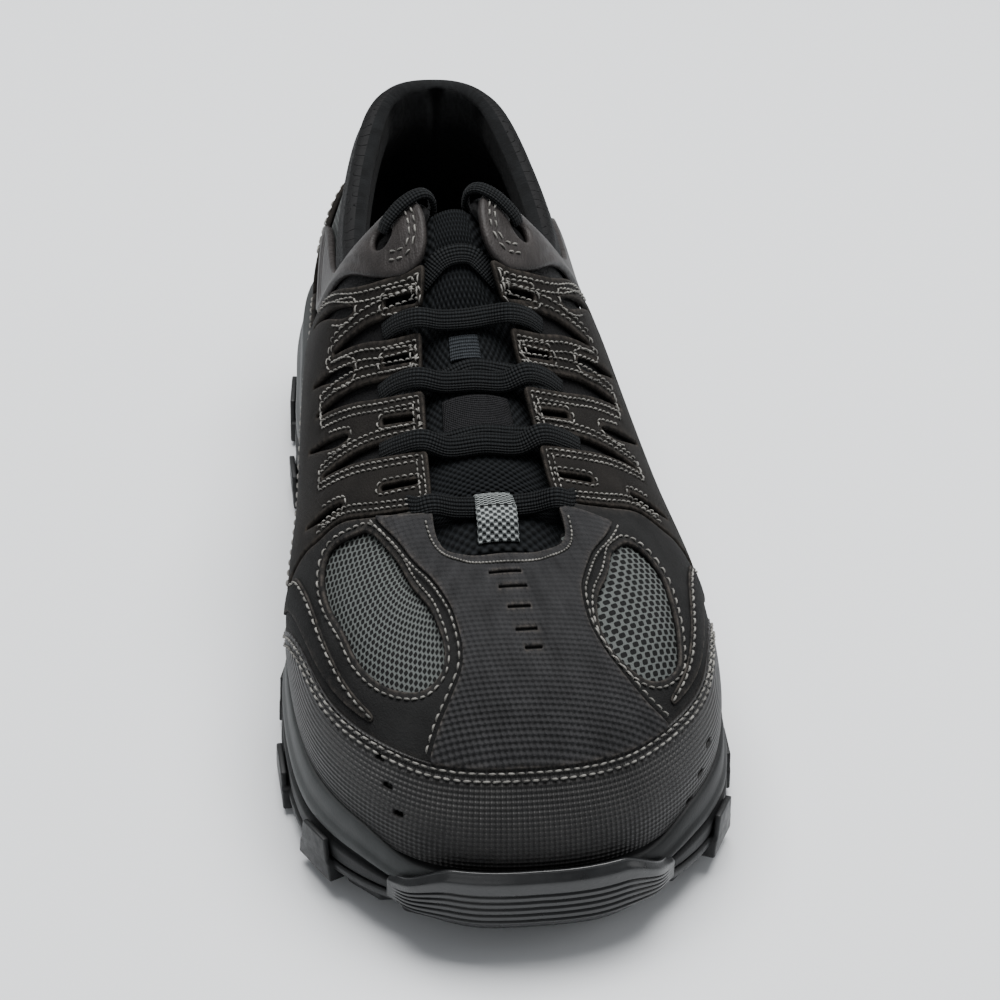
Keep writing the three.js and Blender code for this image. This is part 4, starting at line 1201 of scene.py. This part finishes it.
def closed_sheet(name, points, shape, wrap=None):
    """Closes an outer and an inner grid, listed one after the other, into one mesh."""
    rows, columns = shape
    half = rows * columns
    top = grid_faces(rows, columns)
    faces = top + [[half + i for i in reversed(face)] for face in top]
    edge = [*range(columns), *(i * columns + columns - 1 for i in range(1, rows)),
            *((rows - 1) * columns + j for j in range(columns - 2, -1, -1)),
            *(i * columns for i in range(rows - 2, 0, -1))]
    for k, a in enumerate(edge):
        b = edge[(k + 1) % len(edge)]
        faces.append([b, a, half + a, half + b])
    return new_mesh(name, points, faces, wrap)


glossy = rubber("bumper_rubber", rough=0.34, coat=0.35)
add_piece("toe_bumper", make_bumper(), [glossy])

# %% [markdown]
# The overlays of the toe.
# The toe cap covers the steel box, and the vamp joins it under a double row of stitches. The vamp has a
# frame round each mesh window and a centre panel sewn over both frames, from the throat to the cap.

# %% Toe cap
CAP_LINE = [(0, 0.345), (0.8, 0.345), (1.65, 0.35), (2.4, 0.33), (2.8, 0.25), (3.1, 0.12), (3.3, 0.06)]
CAP_THICK = 1.9
VAMP_THICK = 1.4
CENTRE_THICK = 1.0
COVER_FOOT = 0.0
HOLE_HALF, HOLE_TALL, SLIT_TALL = 0.04, 0.016, 0.009
HOLES_IN = [(-1.35, 0.295), (-1.24, 0.22), (-1.12, 0.145)]
HOLES_OUT = [(1.77, 0.17), (1.6, 0.105), (1.44, 0.045)]
sewing = thread_finish()

cap_top = [(-row, up) for row, up in CAP_LINE[:0:-1]] + CAP_LINE
cap_foot = [(share * CAP_LINE[-1][0], COVER_FOOT) for share in (-1, 0, 1)]
cap_outline = loop_between(cap_foot, cap_top[::-1])


def slit(a, b, up, tall):
    """A narrow oblong hole between two sections."""
    return loop_between([(a, up), (b, up)], [(b, up + tall), (a, up + tall)], step=0.45, rounding=1)


def line_of(points, shift=0.0, step=1.2):
    """A seam line through given points, moved to its left by some millimetres."""
    line = curve_through(points, step)
    run = unit(np.gradient(line, axis=0))
    return line + np.stack([-run[:, 1], run[:, 0]], 1) * shift


def sew(name, seams, height, **size):
    """One piece of stitches along some seams. height is one number, or one for each seam."""
    thread = Thread()
    for seam, level in zip(seams, np.broadcast_to(height, len(seams))):
        thread.run(seam, level, **size)
    thread.finish(name, sewing)


cap_holes = [slit(row - HOLE_HALF, row + HOLE_HALF, up, HOLE_TALL) for row, up in HOLES_IN + HOLES_OUT]
cap_seams = [line_of(cap_top, -1.7), line_of(cap_top, -4.0)]
cap = panel("toe_cap_leather", cap_outline, cap_holes, thick=CAP_THICK, seams=cap_seams, step=1.4)
add_piece("toe_cap_leather", cap, [cap_leather()], ["toe_cap"])
sew("toe_cap_stitches", cap_seams, SEAT + CAP_THICK)

# %% Vamp frames with their windows
THROAT_EDGE = 0.985
THROAT_CORNER = 2.66
FRONT_LINE = [(3.22, 0.05), (3.2, 0.4), (3.15, 0.5), (3.1, 0.63), (2.9, 0.77), (2.69, 0.92),
              (THROAT_CORNER, THROAT_EDGE)]
WINDOW_IN = [(-2.86, 0.72), (-2.97, 0.565), (-2.84, 0.505), (-2.61, 0.5), (-2.22, 0.53), (-1.87, 0.515),
             (-1.51, 0.51), (-1.2, 0.53), (-1.05, 0.56), (-0.94, 0.615), (-0.96, 0.67), (-1.11, 0.73),
             (-1.48, 0.8), (-2.16, 0.825), (-2.65, 0.77), (-2.86, 0.72)]
WINDOW_OUT = [(2.56, 0.74), (2.22, 0.805), (1.62, 0.8), (1.31, 0.745), (1.19, 0.67), (1.22, 0.6),
              (1.34, 0.52), (1.47, 0.48), (1.67, 0.46), (1.86, 0.46), (2.01, 0.49), (2.38, 0.545),
              (2.55, 0.57), (2.65, 0.63), (2.64, 0.695), (2.56, 0.74)]
CENTRE_IN = [(-2.9, 0.765), (-2.36, 0.852), (-1.67, 0.88), (-1.07, 0.812), (-0.79, 0.72), (-0.71, 0.635),
             (-0.78, 0.545), (-0.86, 0.455), (-0.9, 0.36)]
CENTRE_OUT = [(2.72, 0.77), (2.02, 0.88), (1.39, 0.845), (1.1, 0.74), (1.08, 0.64), (1.16, 0.54),
              (1.25, 0.445), (1.36, 0.36)]
# Where each slit begins and ends, and its height.
CENTRE_SLITS = [(-0.39, 0.3, 0.915), (-0.21, 0.33, 0.865), (-0.09, 0.29, 0.8), (-0.02, 0.3, 0.73),
                (0.07, 0.3, 0.675)]

vamp_low = [(row, up - 0.01) for row, up in cap_top]
throat_front = [(share * THROAT_CORNER, THROAT_EDGE) for share in (1, 0, -1)]
vamp_outline = loop_of(vamp_low, FRONT_LINE, throat_front, mirrored(FRONT_LINE[::-1], -1))
window_in, window_out = loop_of(WINDOW_IN, rounding=4), loop_of(WINDOW_OUT, rounding=4)


def offset_loop(loop, amount):
    """A closed outline moved outwards, as an open seam line that comes back to its start."""
    moved = inset(loop, -amount)
    return np.vstack([moved, moved[:1]])


frame_seams = [offset_loop(window_in, 2.3), offset_loop(window_out, 2.3)]
vamp = panel("vamp_frames", vamp_outline, [window_in, window_out], thick=VAMP_THICK, seams=frame_seams,
             step=1.6)
add_piece("vamp_frames", vamp, [nubuck("frame_nubuck", srgb(23, 23, 23))], ["vamp"])

# %% Vamp centre
throat_half = [(share * 2.5, THROAT_EDGE) for share in (1, 0, -1)]
centre_outline = loop_of(
    [(-0.9, 0.34), (0, 0.34), (1.36, 0.34)], [(1.36, 0.34), *CENTRE_OUT[::-1]],
    [CENTRE_OUT[0], (2.62, 0.9), throat_half[0]], throat_half,
    [throat_half[-1], (-2.66, 0.9), CENTRE_IN[0]], CENTRE_IN, [CENTRE_IN[-1], (-0.9, 0.34)])
centre_holes = [slit(*place, SLIT_TALL) for place in CENTRE_SLITS]
centre_seams = [line_of(CENTRE_IN, -1.7), line_of(CENTRE_OUT, 1.7)]
throat_seam = line_of([(-2.45, 0.955), (-1.72, 0.965), (-0.8, 0.955), (0.2, 0.95), (1.2, 0.955),
                       (2.4, 0.96)])
centre = panel("vamp_centre", centre_outline, centre_holes, lift=SEAT + VAMP_THICK, thick=CENTRE_THICK,
               seams=[*centre_seams, throat_seam], step=1.5, swell=0.3)
# The embossed weave of the centre panel carries painted highlight on its ridges and painted shade in its
# hollows.
centre_hide = nubuck("centre_nubuck", srgb(37, 37, 38), emboss=0.35)
add_piece("vamp_centre", centre, [centre_hide])
vamp_top = SEAT + VAMP_THICK
frame_levels = [vamp_top] * len(frame_seams)
centre_levels = [vamp_top + CENTRE_THICK] * (len(centre_seams) + 1)
sew("vamp_stitches", [*frame_seams, *centre_seams, throat_seam], frame_levels + centre_levels)

# %% Bands above the cap
BAND_THICK = 0.7
BAND_LOW = [(1.5, 0.385), (2.2, 0.375), (2.7, 0.33), (3.0, 0.25), (3.14, 0.16)]
BAND_HIGH = [(3.17, 0.3), (3.05, 0.37), (2.7, 0.43), (2.2, 0.45), (1.7, 0.425), (1.5, 0.41)]
band_hide = nubuck("band_nubuck", srgb(17, 17, 17))
for name, side in (("outer", 1), ("inner", -1)):
    outline = loop_between(BAND_LOW, BAND_HIGH, side)
    seam = line_of(mirrored(BAND_HIGH, side), 1.3 * side)
    mesh = panel("vamp_band_" + name, outline, lift=vamp_top, thick=BAND_THICK, seams=[seam],
                 step=1.6, swell=0.2)
    add_piece("vamp_band_" + name, mesh, [band_hide])
    sew("vamp_band_" + name + "_stitches", [seam], vamp_top + BAND_THICK)

# %% [markdown]
# The eyestays.
# Each side of the throat is a comb of four fingers cut from one piece of brown-black nubuck. Between
# the fingers are curved gaps where the lace crosses, each finger has a stitched slot, and below them are
# leaf-shaped slits. Rows of light stitches run along every finger. Above them a smoother, greyer piece
# holds the top lace hole.

# %% The comb
EYESTAY_THICK = 1.8
FINGER_GAP, SLOT_WIDTH, SLIT_WIDTH = 6, 2.2, 3.6
EYESTAY_BOTTOM = 0.255
BACK_LINE = [(5.7, 0.25), (5.3, 0.5), (4.8, 0.7), (4.6, 0.88), (4.56, THROAT_EDGE)]
GAPS = [
    [(4.53, 0.58, 0.1), (4.43, 0.74, 0.57), (4.34, 0.86, 0.83), (4.22, 1.08, 0.93)],
    [(4.29, 0.46, 0.1), (4.13, 0.68, 0.63), (3.99, 0.83, 0.93), (3.78, 1.08, 1.07)],
    [(3.71, 0.51, 0.1), (3.59, 0.7, 0.63), (3.46, 0.84, 0.93), (3.22, 1.08, 1.07)],
]
SLOTS = [[(4.5, 0.83, 1), (4.4, 0.96, 1)], [(4.18, 0.82, 1), (4.08, 0.95, 1)],
         [(3.74, 0.81, 1), (3.6, 0.945, 1)], [(3.13, 0.8, 1), (2.98, 0.94, 1)]]
SLITS = [
    [(4.64, 0.7, 0.5), (4.76, 0.62, 1), (5.12, 0.45, 0.17)],
    [(4.28, 0.69, 0.5), (4.35, 0.62, 1), (4.54, 0.44, 0.17)],
    [(3.84, 0.66, 0.5), (3.91, 0.58, 1), (4.12, 0.4, 0.17)],
    [(3.25, 0.64, 0.5), (3.29, 0.57, 1), (3.4, 0.42, 0.17)],
]
brown = nubuck("eyestay_nubuck", srgb(20, 18, 16), rubbed=srgb(74, 68, 62))


def gap_edges(spine, side):
    """The two long edges of a gap, from the throat down and back up, cut off at the throat edge."""
    edges = []
    for sign in (-1, 1):
        edge = curve_through([(row + sign * share * FINGER_GAP / 2 / PITCH, up)
                              for row, up, share in spine])
        edge = edge[edge[:, 1] < THROAT_EDGE * HEIGHT] / [PITCH, HEIGHT] * [side, 1]
        edges.append([tuple(p) for p in edge])
    return edges[0][::-1], edges[1]


def comb_outline(side):
    front = mirrored([(row + 0.012, up) for row, up in FRONT_LINE if up > EYESTAY_BOTTOM], side)
    back = mirrored(BACK_LINE[::-1], side)
    edges = [[(side * 3.215, EYESTAY_BOTTOM), *front]]
    for spine in reversed(GAPS):
        down, up = gap_edges(spine, side)
        edges += [[edges[-1][-1], down[0]], down, [down[-1], up[0]], up]
    edges += [[edges[-1][-1], back[0]], back, [back[-1], edges[0][0]]]
    return loop_of(*edges, step=1.0)


def make_comb(name, side):
    outline = comb_outline(side)
    cuts = [slot_loop(mirrored(spine, side), SLOT_WIDTH) for spine in SLOTS]
    leaves = [slot_loop(mirrored(spine, side), SLIT_WIDTH) for spine in SLITS]
    seams = []
    # Two rows run round the comb above half the wall's height, a loop round each slot, and an arch over
    # each leaf.
    rows = [inset(outline, 1.8), inset(outline, 3.9)]
    for row in rows:
        held = row[:, 1] > 0.5 * HEIGHT
        breaks = np.flatnonzero(np.diff(held.astype(int)))
        start = breaks[0] + 1 if not held[0] else 0
        seams.append(np.roll(row, -start, 0)[np.roll(held, -start)])
    for cut in cuts:
        ring = inset(cut, -1.6)
        seams.append(np.vstack([ring, ring[:1]]))
    for leaf in leaves:
        ring = inset(leaf, -1.8)
        high = ring[:, 1] > ring[:, 1].max() - 0.13 * HEIGHT
        start = np.flatnonzero(high & ~np.roll(high, 1))
        start = start[0] if len(start) else 0
        seams.append(np.roll(ring, -start, 0)[np.roll(high, -start)])
    mesh = panel(name, outline, [*cuts, *leaves], thick=EYESTAY_THICK, seams=seams, step=1.3, swell=0.15)
    return mesh, seams


for name, side in (("outer", 1), ("inner", -1)):
    mesh, seams = make_comb("eyestay_" + name + "_comb", side)
    add_piece("eyestay_" + name + "_comb", mesh, [brown], ["eyestay_" + name])
    sew("eyestay_" + name + "_stitches", seams, SEAT + EYESTAY_THICK, pitch=2.6, length=1.9, radius=0.27)

# %% Top eyestays
LACE_HOLE = 8
HOLE_AT = (4.93, 0.85)
TOP_SEAM = [(4.7, 0.86), (4.66, 0.9), (4.66, 0.94), (4.74, 0.968), (4.88, 0.975), (5.05, 0.975)]
grey_hide = smooth_leather("top_eyestay_leather", srgb(42, 39, 38))


def top_outline(side):
    """From the lower front corner up the throat, round the top, and back along the lower edge."""
    throat = [(4.58, 0.89), (4.56, 0.95), (4.66, 0.992), (5.1, 0.995), (5.45, 0.99)]
    back = [(5.62, 0.975), (5.9, 0.93), (6.15, 0.85), (6.45, 0.7), (6.66, 0.54)]
    low = [(6.68, 0.49), (6.35, 0.5), (5.7, 0.545), (5.15, 0.635), (4.82, 0.74), (4.66, 0.82)]
    edges = [throat, [throat[-1], *back], [back[-1], *low], [low[-1], throat[0]]]
    return loop_of(*(mirrored(edge, side) for edge in edges), rounding=4)


def round_hole(row, up, across):
    turn = np.linspace(0, 2 * math.pi, 28, endpoint=False)
    return np.stack([row * PITCH + np.cos(turn) * across / 2, up * HEIGHT + np.sin(turn) * across / 2], 1)


def wrinkles(row, up):
    """Soft folds where the leather turns down to the side."""
    r = np.abs(row)
    edge = 0.56 + 0.1 * np.clip(6.2 - r, 0, None) ** 1.5
    first = np.exp(-((up - edge - 0.03) / 0.012) ** 2)
    second = np.exp(-((up - edge - 0.075) / 0.014) ** 2) * smooth(4.9, 5.3, r)
    hollow = np.exp(-((r - 5.45) / 0.2) ** 2 - ((up - 0.84) / 0.08) ** 2)
    return -0.5 * first - 0.4 * second - 0.8 * hollow


for name, side in (("outer", 1), ("inner", -1)):
    outline = top_outline(side)
    hole = round_hole(side * HOLE_AT[0], HOLE_AT[1], LACE_HOLE)
    seams = [line_of(mirrored(TOP_SEAM, side), shift * side) for shift in (-0.4, -2.4)]
    node = "top_eyestay_" + name
    mesh = panel(node + "_leather", outline, [hole], thick=EYESTAY_THICK + 0.3, seams=seams, step=1.3,
                 swell=0.4, edge=1.2, relief=wrinkles, lift=SEAT + 0.2)
    add_piece(node + "_leather", mesh, [grey_hide], [node])
    sew(node + "_stitches", seams, SEAT + EYESTAY_THICK + 0.6, pitch=2.9, length=2.2)

# %% [markdown]
# Side and heel.
# Low on both sides a mudguard runs from the vamp to the heel, and a counter stiffens the back. Both hardly
# show in the photograph, so they are plain, each with one or two rows of stitches.

# %% Mudguards and counter
GUARD_FRONT, GUARD_BACK, GUARD_TOP, GUARD_THICK = 3.34, 6.5, 0.23, 1.5
COUNTER_FRONT, COUNTER_THICK = 6.6, 1.7
COUNTER_LINE = [(0, 0.64), (0.5, 0.6), (0.8, 0.5), (1, 0.36)]
guard_hide = nubuck("guard_nubuck", srgb(20, 20, 20))

for name, side in (("outer", 1), ("inner", -1)):
    low = [(GUARD_FRONT - 0.12, COVER_FOOT), (5, COVER_FOOT), (GUARD_BACK + 0.1, COVER_FOOT)]
    high = [(GUARD_BACK + 0.05, 0.17), (6.2, 0.215), (5, GUARD_TOP), (3.9, GUARD_TOP), (GUARD_FRONT, 0.2)]
    seam = line_of(mirrored(high, side), 1.9 * side)
    mesh = panel("mudguard_" + name + "_nubuck", loop_between(low, high, side), thick=GUARD_THICK,
                 seams=[seam], step=1.8)
    add_piece("mudguard_" + name + "_nubuck", mesh, [guard_hide], ["mudguard_" + name])
    sew("mudguard_" + name + "_stitches", [seam], SEAT + GUARD_THICK)

spread = HEEL - COUNTER_FRONT
counter_high = [(HEEL - spread * share, up) for share, up in COUNTER_LINE]
counter_high = counter_high[::-1] + [(HEEL + spread * share, up) for share, up in COUNTER_LINE[1:]]
counter_low = [(COUNTER_FRONT - 0.1, COVER_FOOT), (HEEL, COVER_FOOT), (HEEL + spread + 0.1, COVER_FOOT)]
counter_outline = loop_between(counter_low, counter_high[::-1])
counter_seams = [line_of(counter_high, shift) for shift in (-2, -4.3)]
counter = panel("heel_counter_nubuck", counter_outline, thick=COUNTER_THICK, seams=counter_seams, step=1.8)
add_piece("heel_counter_nubuck", counter, [brown], ["heel_counter"])
sew("heel_counter_stitches", counter_seams, SEAT + COUNTER_THICK)

# %% [markdown]
# The tongue.
# The tongue is a padded tube of black mesh that bridges the throat. Its surface follows the inside of
# the wall at both sides and is a smooth bridge between them. What lies on it, the label, the strap and
# the webbing keeper, uses the same surface.

# %% The tongue's surface
TONGUE_THICK = 4.6
TONGUE_CLEAR = 0.5
TONGUE_RISE = 7
TONGUE_FRONT, TONGUE_BACK = 2.3, 4.72
TONGUE_SIDE = 0.84
BRIDGE = 0.5
TONGUE_WIDE = 30
TONGUE_EDGE = 0.96
LACE_BARS = [2.62, 3.27, 3.85, 4.25, 4.6]
BAR_GAPS = [2.95, 3.52, 4.05, 4.42]


def tongue_top(row, across):
    """row as on the last, across from the inner edge, -1, to the outer edge, 1."""
    row, across = np.broadcast_arrays(np.asarray(row, float), np.asarray(across, float))
    shape = row.shape
    row, across = row.ravel(), across.ravel()
    r = np.clip(row, TONGUE_FRONT, TONGUE_BACK)
    depth = WALL + TONGUE_CLEAR
    one = np.ones_like(r)
    ends = [over(s * r, one, -depth * one) for s in (-1, 1)]
    before = [over(s * r, one - PROBE, -depth * one) for s in (-1, 1)]
    spread = np.linalg.norm(ends[0] - ends[1], axis=1, keepdims=True)
    pull = [unit(e - b) * spread for e, b in zip(ends, before)]
    t = np.clip((across / BRIDGE + 1) / 2, 0, 1)[:, None]
    middle = ends[0] * (2 * t**3 - 3 * t**2 + 1) + pull[0] * (t**3 - 2 * t**2 + t)
    middle = middle + ends[1] * (3 * t**2 - 2 * t**3) + pull[1] * (t**2 - t**3)
    side_up = mix(1, TONGUE_SIDE, np.clip((np.abs(across) - BRIDGE) / (1 - BRIDGE), 0, None))
    side = over(np.sign(across) * r, side_up, -depth * one)
    point = np.where((np.abs(across) <= BRIDGE)[:, None], middle, side)
    front = np.clip(TONGUE_FRONT - row, 0, None)[:, None] * PITCH
    point = point + front * [0, -1, -0.42]
    if np.any(row > TONGUE_BACK + 1e-6):
        beyond = np.clip(row - TONGUE_BACK, 0, None)[:, None] / 0.1
        step = tongue_top(r * 0 + TONGUE_BACK, across) - tongue_top(r * 0 + TONGUE_BACK - 0.1, across)
        point = point + step * beyond + beyond * [0, 0.5, -0.9]
    return point.reshape(*shape, 3)


def tongue_normal(row, across):
    wide = tongue_top(row, across + PROBE) - tongue_top(row, across - PROBE)
    along = tongue_top(row + PROBE, across) - tongue_top(row - PROBE, across)
    return unit(np.cross(wide, along))


def on_tongue(row, across, lift):
    return tongue_top(row, across) + tongue_normal(row, across) * np.asarray(lift, float)[..., None]


def tongue_sheet(name, row, across, outer, inner):
    """Closes two grids at two heights over the tongue into one mesh."""
    wrap = np.stack([across * TONGUE_WIDE, row * PITCH, 0 * row], -1).reshape(-1, 3)
    points = np.vstack([on_tongue(row, across, height).reshape(-1, 3) for height in (outer, inner)])
    return closed_sheet(name, points, row.shape, np.vstack([wrap, wrap]))


def make_tongue():
    last = TONGUE_BACK + TONGUE_RISE / PITCH
    row, across = np.meshgrid(np.linspace(TONGUE_FRONT - 0.3, last, 110),
                              np.linspace(-TONGUE_EDGE, TONGUE_EDGE, 72), indexing="ij")
    # Soft folds between the lace bars, which press it down.
    fold = sum(np.exp(-((row - at) / 0.09) ** 2) for at in BAR_GAPS)
    press = sum(np.exp(-((row - at) / 0.08) ** 2) for at in LACE_BARS)
    inner_half = 1 - smooth(0.3, 0.5, np.abs(across))
    lift = -0.7 * press * inner_half + 0.25 * fold * inner_half
    rim = 1 - np.clip((np.abs(across) / TONGUE_EDGE) ** 8, 0, 1)
    return tongue_sheet("tongue_padded", row, across, lift, -mix(0.45, 1, rim) * TONGUE_THICK)


tongue = add_piece("tongue_padded", make_tongue(), [spacer_mesh()], ["tongue"])


# %% Label, strap and keeper
def tongue_patch(name, rows, across, lift, thick, material, replaces=(), bow=None):
    """A flat patch on the tongue, with rounded corners."""
    row, wide = np.meshgrid(np.linspace(*rows, 40), np.linspace(*across, 30), indexing="ij")
    s, t = np.meshgrid(np.linspace(0, 1, 40), np.linspace(0, 1, 30), indexing="ij")
    high = lift + (bow(s) if bow else 0 * s)
    rim = smooth(0, 0.06, np.minimum(s, 1 - s)) * smooth(0, 0.06, np.minimum(t, 1 - t))
    mesh = tongue_sheet(name, row, wide, high + thick * mix(0.4, 1, rim), high)
    add_piece(name, mesh, [material], replaces)


LABEL_THICK = 0.8
STRAP_THICK = 0.6
LACE_THICK = 2.2
LACE_WIDTH = 6.5
LACE_DIP = 0.27
KEEPER_TAB = 8
tongue_patch("tongue_label_cloth", (3.4, 3.7), (-0.4, 0.4), GAP, LABEL_THICK,
             woven("label_weave", srgb(20, 20, 22), srgb(34, 34, 36), 0.9), ["tongue_label"])
tongue_patch("tongue_strap", (3.98, 4.14), (-0.25, 0.15), GAP, STRAP_THICK,
             woven("strap_weave", srgb(32, 35, 38), srgb(50, 54, 58), 1.2))
keeper_at = LACE_BARS[0] - LACE_DIP
keeper_half = (LACE_WIDTH / 2 + KEEPER_TAB) / PITCH
tongue_patch("lace_keeper_webbing", (keeper_at - keeper_half, keeper_at + keeper_half), (-0.145, 0.145),
             GAP, LABEL_THICK, checker_tape(), ["lace_keeper"],
             bow=lambda s: (LACE_THICK + 2 * GAP) * smooth(0, 0.25, np.minimum(s, 1 - s)))

# %% [markdown]
# The laces.
# One flat woven lace crosses the throat at five places. At the front it passes through the keeper, and
# three bars run out into the gaps between the fingers. Two of them have a second strand below. The two
# ends come up inside the throat, arch over the rim of the top eyestays and stop inside their holes.

# %% Lace bars
# The lace is black; its blue-grey light colour is a painted sheen on the braid's crossings.
black_lace = woven("lace_braid", srgb(4, 5, 6), srgb(19, 22, 24), 1.3)


def smooth_path(points, count):
    """A smooth line through points in space."""
    p = np.asarray(points, float)
    padded = np.vstack([2 * p[0] - p[1], p, 2 * p[-1] - p[-2]])
    at = np.linspace(0, len(p) - 1, count)
    k = np.minimum(at.astype(int), len(p) - 2)
    t = (at - k)[:, None]
    p0, p1, p2, p3 = (padded[k + j] for j in range(4))
    a, b = 0.5 * (p2 - p0), 0.5 * (p3 - p1)
    return p1 + a * t + (3 * (p2 - p1) - 2 * a - b) * t**2 + (2 * (p1 - p2) + a + b) * t**3


def ribbon(name, points, normals, width, thick, sides=14):
    """A flat oval lace along a line: the mesh only."""
    along = unit(np.gradient(points, axis=0))
    wide = unit(np.cross(along, normals))
    high = np.cross(wide, along)
    turn = np.arange(sides) * 2 * math.pi / sides
    flat = np.sign(np.cos(turn)) * np.abs(np.cos(turn)) ** 0.8 * width / 2
    tall = np.sin(turn) * thick / 2
    rings = points[:, None] + wide[:, None] * flat[None, :, None] + high[:, None] * tall[None, :, None]
    travel = np.concatenate([[0], np.cumsum(np.linalg.norm(np.diff(points, axis=0), axis=1))])
    around = np.cumsum(np.hypot(np.gradient(flat), np.gradient(tall)))
    count = len(points) * sides
    wrap = np.stack([np.repeat(travel, sides), np.tile(around, len(points)), np.zeros(count)], 1)
    faces = grid_faces(len(points), sides, close_columns=True)
    faces += fan(range(sides), flip=True) + fan(range(count - sides, count))
    return new_mesh(name, rings.reshape(-1, 3), faces, wrap)


def lace_bar(name, ends, middle, thick, twist):
    """A bar that lies on the tongue in the middle and on the last's sides at both ends."""
    ends, middle = np.array(ends), np.array(middle)
    sides = [over(side * ends[:, 0], ends[:, 1], ends[:, 2]) for side in (-1, 1)]
    route = np.vstack([sides[0], on_tongue(*middle.T), sides[1][::-1]])
    points = smooth_path(route, 100)
    along = unit(np.gradient(points, axis=0))
    normals = unit(np.cross(along, np.broadcast_to(UPHILL, along.shape)))
    lean = twist * np.sin(np.linspace(0, math.pi, len(points)))[:, None]
    normals = unit(normals * np.cos(lean) + np.cross(along, normals) * np.sin(lean))
    return ribbon(name, points, normals, LACE_WIDTH, thick)


# Back and up along the instep.
UPHILL = unit(np.array([0, 0.82, 0.57]))
UNDER_THINNER = 0.9
# Twist of each strand. Its ends: section, share of the way up, millimetres over the last. Its middle:
# section, share across the tongue, height over it.
STRANDS = {
    "lace_bar_1": (0.1, [(2.84, 0.88, 0.6), (2.68, 0.93, 2.2), (2.58, 0.99, 3.0)],
                   [(2.45, -0.3, 2.6), (2.34, 0, 1.6), (2.45, 0.3, 2.6)]),
    "lace_bar_2": (0.1, [(3.5, 0.8, 0.6), (3.42, 0.88, 2.4), (3.33, 0.97, 3.4)],
                   [(3.24, -0.35, 2.6), (3.22, 0, 2.0), (3.23, 0.35, 2.6)]),
    "lace_bar_2_under": (-0.1, [(3.4, 0.84, 0.4), (3.36, 0.9, 1.4), (3.34, 0.97, 1.6)],
                         [(3.32, -0.35, 1.2), (3.33, 0, 1.0), (3.34, 0.35, 1.2)]),
    "lace_bar_3": (0.1, [(4.0, 0.8, 0.6), (3.96, 0.88, 2.4), (3.88, 0.97, 3.4)],
                   [(3.82, -0.35, 2.6), (3.79, 0, 2.0), (3.8, 0.35, 2.6)]),
    "lace_bar_3_under": (-0.1, [(3.88, 0.84, 0.4), (3.86, 0.9, 1.4), (3.86, 0.97, 1.6)],
                         [(3.86, -0.35, 1.2), (3.9, 0, 1.0), (3.9, 0.35, 1.2)]),
    "lace_bar_4": (0.1, [(4.36, 0.82, 0.6), (4.33, 0.89, 2.4), (4.28, 0.97, 3.2)],
                   [(4.24, -0.35, 2.4), (4.22, 0, 1.9), (4.25, 0.35, 2.4)]),
}
for name, (twist, ends, middle) in STRANDS.items():
    thick = LACE_THICK - (UNDER_THINNER if "under" in name else 0)
    mesh = lace_bar(name, ends, middle, thick, twist)
    add_piece(name, mesh, [black_lace], ["lace"] if name == "lace_bar_1" else ())

# The highest bar lies low on the tongue, between the top eyestays.
row, across, lift = smooth_path([(4.5, -0.7, 0.9), (4.56, -0.4, 1.2), (4.58, 0, 1.2), (4.57, 0.4, 1.2),
                                 (4.5, 0.7, 0.9)], 90).T
mesh = ribbon("lace_bar_5", on_tongue(row, across, lift), tongue_normal(row, across), LACE_WIDTH, 1.5)
add_piece("lace_bar_5", mesh, [black_lace])

# %% Lace ends
LACE_END_WIDE = 4.6
LACE_END_TALL = 2.3
# Section, share of the way up and millimetres over the last, from inside the throat to the hole.
LACE_END = [
    (5.25, 0.8, -7.6), (5.2, 0.86, -7.4), (5.16, 0.92, -7), (5.12, 0.98, -6.2), (5.1, 1.02, -4.8),
    (5.08, 1.04, -2.2), (5.06, 1.042, 0.8), (5.03, 1.02, 3.4), (5, 0.97, 4.7), (4.97, 0.92, 4.7),
    (4.945, 0.885, 4.3), (4.935, 0.865, 3.2),
]
for name, side in (("outer", 1), ("inner", -1)):
    at = np.array(LACE_END)
    points = smooth_path(over(side * at[:, 0], at[:, 1], at[:, 2]), 60)
    normals = unit(points - points.mean(0) + [0, 0, 1e-3])
    mesh = ribbon("lace_end_" + name + "_braid", points, normals, LACE_END_WIDE, LACE_END_TALL)
    piece = add_piece("lace_end_" + name + "_braid", mesh, [black_lace], ["lace_end_" + name])

# %% [markdown]
# The footbed.
# A removable insole fills the shoe from wall to wall, a little dished, with a plain brushed top.

# %% Insole
INSOLE_THICK = 4.5
INSOLE_LIFT = 0.8


def make_insole():
    steps = [(2.6, 0), (2.4, 1), (2.6, 3), (3.2, 4.1), (4.2, INSOLE_THICK)]
    rings = [side_point(sole_rows, 1, 0 * sole_rows - WALL - within) + [0, 0, WALL + INSOLE_LIFT + height]
             for within, height in steps]
    points, faces = ring_stack(rings)
    return new_mesh("insole_footbed", points, faces, points)


footbed_cloth = lining("footbed_cloth", srgb(16, 17, 18))
add_piece("insole_footbed", make_insole(), [footbed_cloth], ["insole"])

# %% Finish
low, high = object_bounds()
